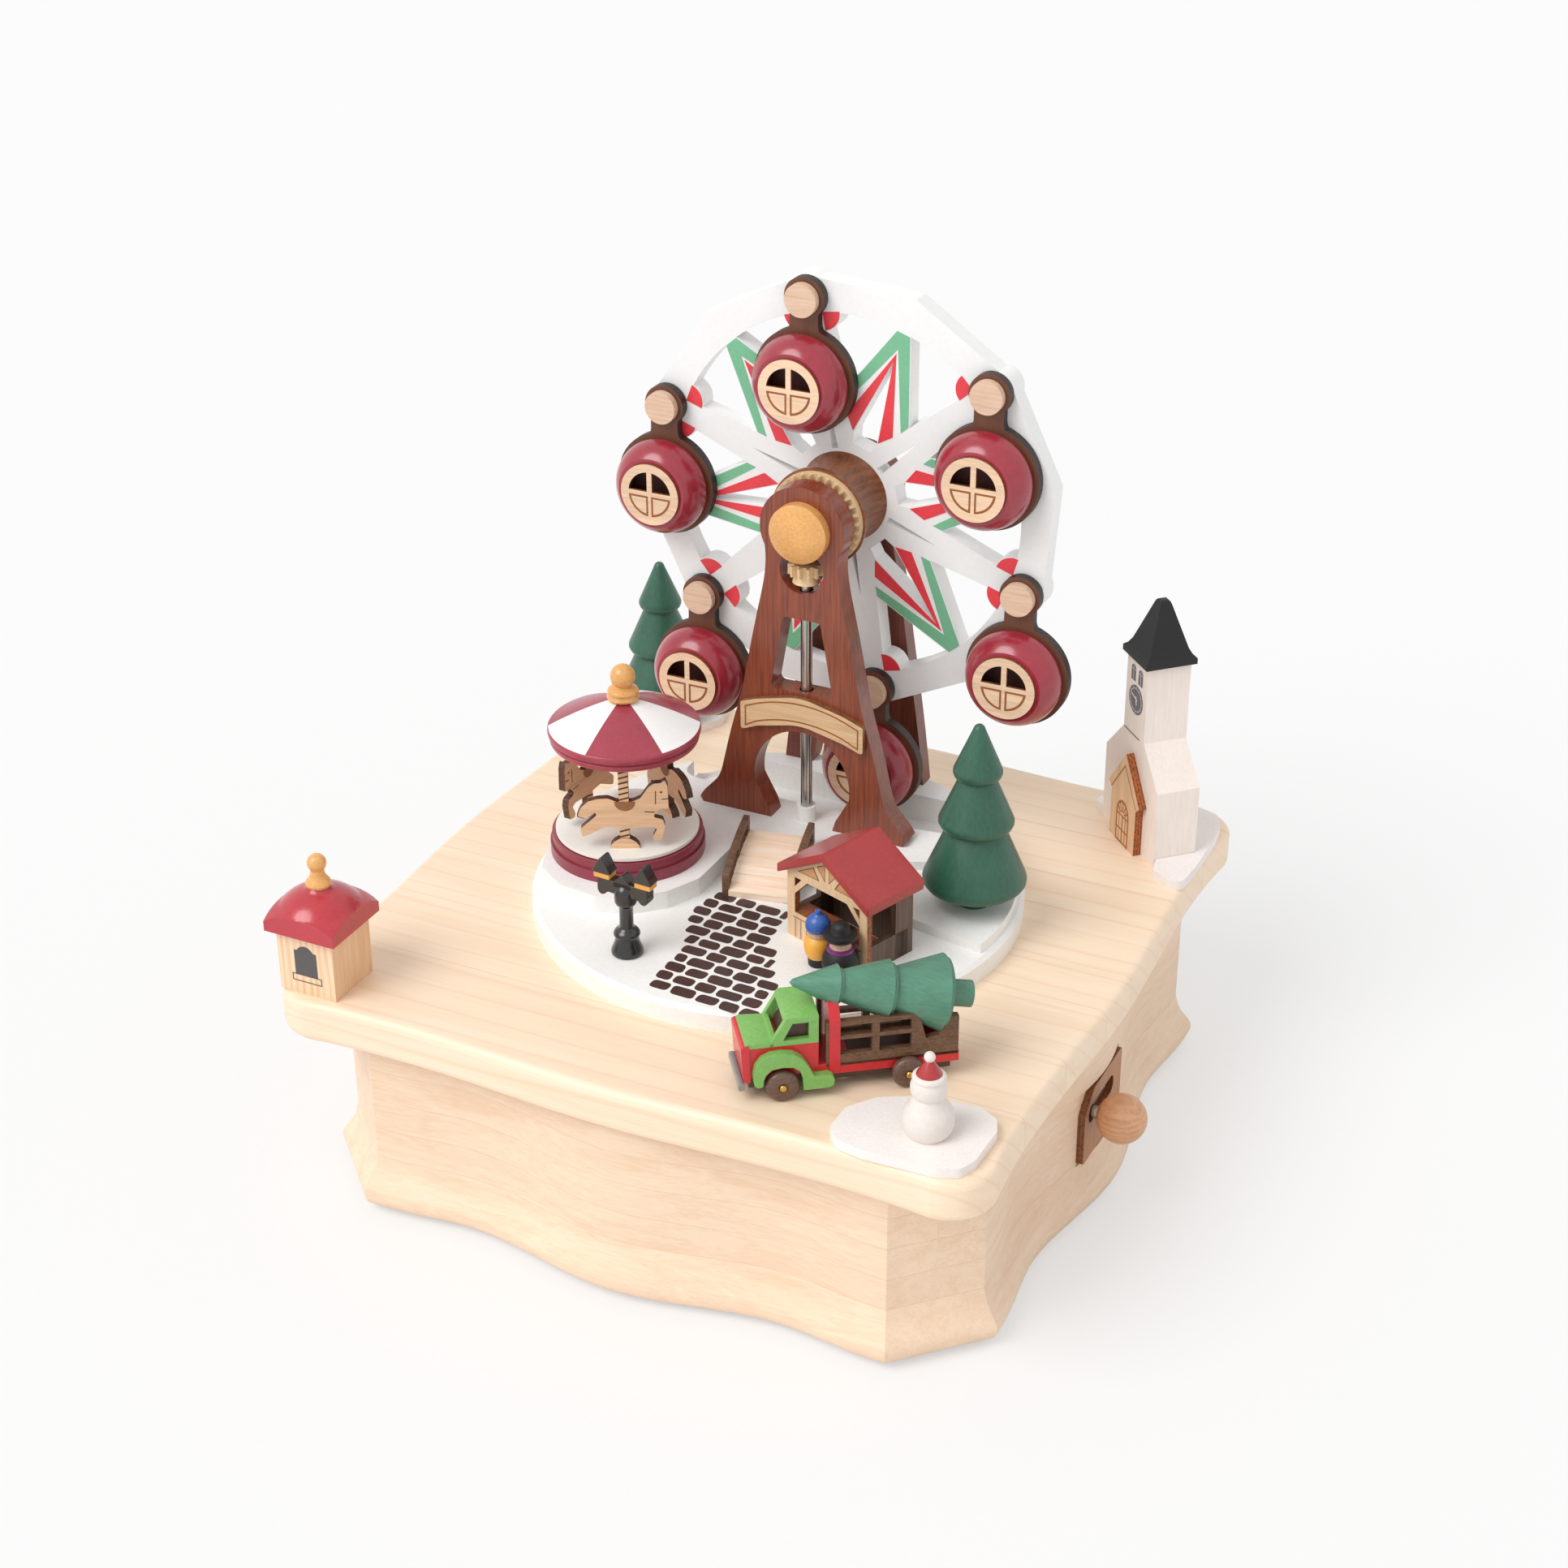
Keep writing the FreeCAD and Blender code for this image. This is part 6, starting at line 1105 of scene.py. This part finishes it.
truck = {"circle": 93.0, "angle": -54.1, "heading": -143.7, "ground": 70.05, "half": 7.2,
         "bed": [(-31.0, 5.4), (7.0, 5.4), (7.0, 8.7), (-31.0, 8.7)],
         "frame": [(-29.0, 3.0), (25.5, 3.0), (25.5, 6.9), (-29.0, 6.9)],
         "engine": [(7.0, 6.6), (25.8, 6.6), (26.2, 16.2), (7.0, 16.2)],
         "hood": [(19.0, 16.0), (26.4, 16.0), (26.8, 16.5), (26.6, 17.2), (26.0, 17.5), (19.0, 17.0)],
         "cabSide": [(7.0, 16.0), (20.3, 16.0), (15.6, 24.2), (7.0, 24.2)],
         "glass": [(9.6, 17.5), (16.5, 17.5), (14.0, 22.5), (9.6, 22.5)],
         "cabRoof": [(7.0, 22.8), (16.3, 22.9), (15.7, 24.1), (15.0, 24.5), (7.0, 24.5)],
         "dash": [(17.6, 16.0), (20.3, 16.0), (19.3, 17.9), (18.2, 17.9)],
         "bumper": [(26.9, 3.5), (28.6, 3.5), (28.6, 5.7), (26.9, 5.7)],
         "seat": [(7.1, 16.1), (17.2, 16.1), (14.2, 22.6), (7.1, 22.6)],
         "magnet": [(0, 1.0), (4.0, 1.0), (4.0, 4.4), (0, 4.4)],
         "nose": [(25.2, 5.7), (26.8, 5.6), (27.2, 6.4), (27.8, 16.2), (27.2, 16.9), (25.6, 17.1)],
         "headBoard": [(-7.5, 6.4), (7.5, 6.4), (7.5, 22.2), (4.6, 26.2), (-4.6, 26.2), (-7.5, 22.2)],
         "rail": [(5.0, 7.7), (-30.8, 7.7), (-30.8, 19.5), (-27.2, 19.9), (-25.4, 14.3), (-22.0, 13.4),
                  (-20.0, 21.4), (5.0, 21.4)],
         "railOpenings": [[(-7.4, 11.2), (1.6, 11.2), (1.6, 15.8), (-7.4, 15.8)],
                          [(-18.0, 11.2), (-9.4, 11.2), (-9.4, 15.7), (-18.0, 15.7)],
                          [(-7.4, 17.0), (1.6, 17.0), (1.6, 20.1), (-7.4, 20.1)],
                          [(-18.0, 17.0), (-9.4, 17.0), (-9.4, 20.1), (-18.0, 20.1)]],
         "fender": [(22.2, 5.2), (23.6, 4.9), (24.5, 5.7), (24.8, 8.6), (24.2, 11.4), (22.6, 13.6),
                    (20.2, 14.7),
                    (17.2, 14.9), (14.2, 14.4), (11.8, 12.8), (10.0, 10.0), (8.8, 7.4), (8.2, 6.8),
                    (4.6, 6.8),
                    (3.5, 6.3), (3.0, 5.0), (3.4, 3.4), (4.6, 2.8), (11.4, 2.8), (11.6, 6.6), (12.4, 9.0),
                    (14.2, 10.3), (17.0, 10.6), (19.8, 10.2), (21.4, 8.8), (22.0, 7.2)],
         "step": 2.4, "frameWide": 12.0, "cabWall": (1.7, 0.65), "railWall": (2.0, 1.0), "fenderOver": 0.4,
         "wider": {"hood": 0.4, "cabRoof": 0.6, "dash": -2, "nose": 1.0, "seat": -3.4, "bumper": 1.6},
         "headBoardAt": (4.2, 3.0), "tailBar": (-29.7, 12.7), "tailSize": (1.8, 1.0, 9.0),
         "bedLining": (-12.0, 8.85), "liningSize": (20.0, 4.2, 0.3), "bumperCorner": 0.5,
         "axles": (17.0, -17.0), "track": 8.75, "axleRadius": 1.0, "tyreRadius": 4.5, "tyreWide": 2.6,
         "tyre": [(0, 0), (4.0, 0), (4.5, 0.5), (4.5, 1.7), (4.1, 2.3), (3.4, 2.6), (1.3, 2.65), (1.25, 2.45),
                  (0, 2.45)],
         "pin": [(0, 2.4), (1.05, 2.4), (1.05, 2.85), (0.85, 3.2), (0.4, 3.4), (0, 3.45)]}


def onTruck(x=0.0, y=0.0, z=0.0):
    a = math.radians(truck["angle"])
    base = at(truck["circle"] * math.cos(a), truck["circle"] * math.sin(a), truck["ground"], truck["heading"])
    return base @ move(x, y, z)


def buildTruck():  # boards cut to side views and stacked across the truck, as a sawn toy is made
    c = truck
    half = c["half"]
    wider = c["wider"]
    piece = bmesh.new()

    def side(shape, width, slot, middle=0.0, holes=()):  # a width about a line beside the truck's middle
        fit(piece, board(shape, width, holes), onTruck(0, middle + width / 2, 0) @ front, slot)

    side(c["frame"], c["frameWide"], 3)
    side(c["bed"], 2 * half, 1)
    side(c["engine"], 2 * half, 1)
    side(c["hood"], 2 * half + wider["hood"], 0)
    for edge in (-1, 1):
        side(c["cabSide"], c["cabWall"][0], 0, edge * (half - c["cabWall"][1]), [c["glass"]])
        side(c["rail"], c["railWall"][0], 2, edge * (half - c["railWall"][1]), c["railOpenings"])
        over = c["fenderOver"]
        side(c["fender"], c["step"] + over, 0, edge * (half + (c["step"] - over) / 2))
    side(c["cabRoof"], 2 * half + wider["cabRoof"], 0)
    side(c["dash"], 2 * half + wider["dash"], 0)
    side(c["nose"], 2 * half + wider["nose"], 1)
    bumper = board(c["bumper"], 2 * half + wider["bumper"], (), c["bumperCorner"], 3)
    fit(piece, bumper, onTruck(0, half + wider["bumper"] / 2, 0) @ front, 4)
    side(c["seat"], 2 * half + wider["seat"], 3)
    fit(piece, lathe(c["magnet"], 32), onTruck(), 5)
    x, thick = c["headBoardAt"]
    fit(piece, board(c["headBoard"], thick), onTruck(x) @ spun(90, "Z") @ front @ spun(180, "Y"), 1)
    for (x, z), (long, narrower, tall), slot in ((c["tailBar"], c["tailSize"], 2),
                                                 (c["bedLining"], c["liningSize"], 3)):
        fit(piece, bar(long, 2 * half - narrower, tall), onTruck(x, 0, z), slot)
    looks = ["truckGreen", "truckRed", "railWalnut", "underframe", "silverPaint", "steel"]
    makePiece("deliveryTruck", piece, "truck", looks, ["truck_body"], 0.3)


def buildTruckWheels(name, node, body, x):  # two turned wheels on one rod, with pins in their hubs
    c = truck
    radius = c["tyreRadius"]
    half = c["track"]
    piece = bmesh.new()
    for side in (-1, 1):
        put = onTruck(x, side * (half - c["tyreWide"] / 2), radius) @ spun(-90 * side, "X")
        fit(piece, lathe(c["tyre"], 40), put, 0)
        fit(piece, lathe(c["pin"], 20), put, 1)
    rod = lathe([(0, -half), (c["axleRadius"], -half), (c["axleRadius"], half), (0, half)], 20)
    fit(piece, rod, onTruck(x, 0, radius) @ spun(90, "X"), 1)
    makePiece(name, piece, body, ["wheelWood", "brass"], [node], 0.0, 50.0)


buildWheelPaint()
buildPlaqueBorder()
buildTrees()
for number in range(1, 7):
    buildGondola(number)
print("wheel painted, six gondolas built")
buildCarouselRoof()
for number in range(3):
    buildHorse(number)
print("carousel built")
buildLamp()
buildStall()
buildVisitors()
buildBridge()
buildPath()
print("fairground built")
buildChurch()
buildBooth()
buildSnowman()
buildTruck()
buildTruckWheels("frontWheels", "truck_front_wheels", "truck_front", truck["axles"][0])
buildTruckWheels("rearWheels", "truck_rear_wheels", "truck_rear", truck["axles"][1])
print("church, booth, snowman and truck built")


studio = {"floorHalf": 6.0, "floorSeen": 0.42, "floorBounce": 0.86, "floorGlow": 0.49,
          "sky": 0.74, "skySeen": 0.94, "sunPower": 1.72, "sunFrom": (-0.40, -0.60, 0.80), "sunSoft": 38.0}


def buildStudio():  # a pale floor and sky that look the same to the camera, and one soft sun
    form = bmesh.new()
    bmesh.ops.create_grid(form, x_segments=2, y_segments=2, size=studio["floorHalf"])
    mesh = bpy.data.meshes.new("studioFloor")
    form.to_mesh(mesh)
    form.free()
    floor = bpy.data.objects.new("studioFloor", mesh)
    bpy.context.collection.objects.link(floor)
    finish, shader = newFinish("floorPaper", 0.9, specular=0.0)
    seen = addNode(finish, "LightPath")
    level = addNode(finish, "MapRange", {"To Min": studio["floorBounce"], "To Max": studio["floorSeen"]})
    join(finish, seen.outputs["Is Camera Ray"], level.inputs["Value"])
    join(finish, level.outputs[0], shader.inputs["Base Color"])
    shader.inputs["Emission Color"].default_value = (1, 1, 1, 1)
    join(finish, calc(finish, "MULTIPLY", seen.outputs["Is Camera Ray"], studio["floorGlow"]),
         shader.inputs["Emission Strength"])
    mesh.materials.append(finish)

    world = bpy.data.worlds.new("studioSky")
    bpy.context.scene.world = world
    world.use_nodes = True
    world.node_tree.nodes.clear()
    ray = addNode(world, "LightPath").outputs
    direct = calc(world, "MAXIMUM", ray["Is Camera Ray"], ray["Is Glossy Ray"])
    seen = calc(world, "MAXIMUM", direct, ray["Is Transmission Ray"])
    level = addNode(world, "MapRange", {"Value": seen, "To Min": studio["sky"], "To Max": studio["skySeen"]})
    light = addNode(world, "Background", {"Color": (1, 1, 1, 1), "Strength": level.outputs[0]})
    addNode(world, "OutputWorld", {"Surface": light.outputs[0]})

    sun = bpy.data.lights.new("softSun", "SUN")
    sun.energy = studio["sunPower"]
    sun.angle = math.radians(studio["sunSoft"])
    sunHolder = bpy.data.objects.new("softSun", sun)
    sunHolder.rotation_mode = "QUATERNION"
    sunHolder.rotation_quaternion = Vector(studio["sunFrom"]).to_track_quat("Z", "Y")
    bpy.context.collection.objects.link(sunHolder)


view = {"at": (308.3, -631.3, 490.6), "towards": (-0.3848, 0.7952, -0.4687), "roll": -0.17, "lens": 63.24,
        "shift": (-0.0017, -0.0178), "sensor": 36.0, "clip": (0.01, 30.0)}


def buildCamera():
    camera = bpy.data.cameras.new("photoView")
    camera.lens = view["lens"]
    camera.sensor_width = view["sensor"]
    camera.sensor_fit = "HORIZONTAL"
    camera.shift_x, camera.shift_y = view["shift"]
    camera.clip_start, camera.clip_end = view["clip"]
    holder = bpy.data.objects.new("photoView", camera)
    aim = Vector(view["towards"]).to_track_quat("-Z", "Y").to_matrix().to_4x4()
    lean = spun(view["roll"], "Z")
    holder.matrix_world = Matrix.Translation([c * mm for c in view["at"]]) @ aim @ lean
    bpy.context.collection.objects.link(holder)
    bpy.context.scene.camera = holder


buildStudio()
buildCamera()
bpy.context.scene.view_settings.view_transform = "Standard"
print("studio and camera set")
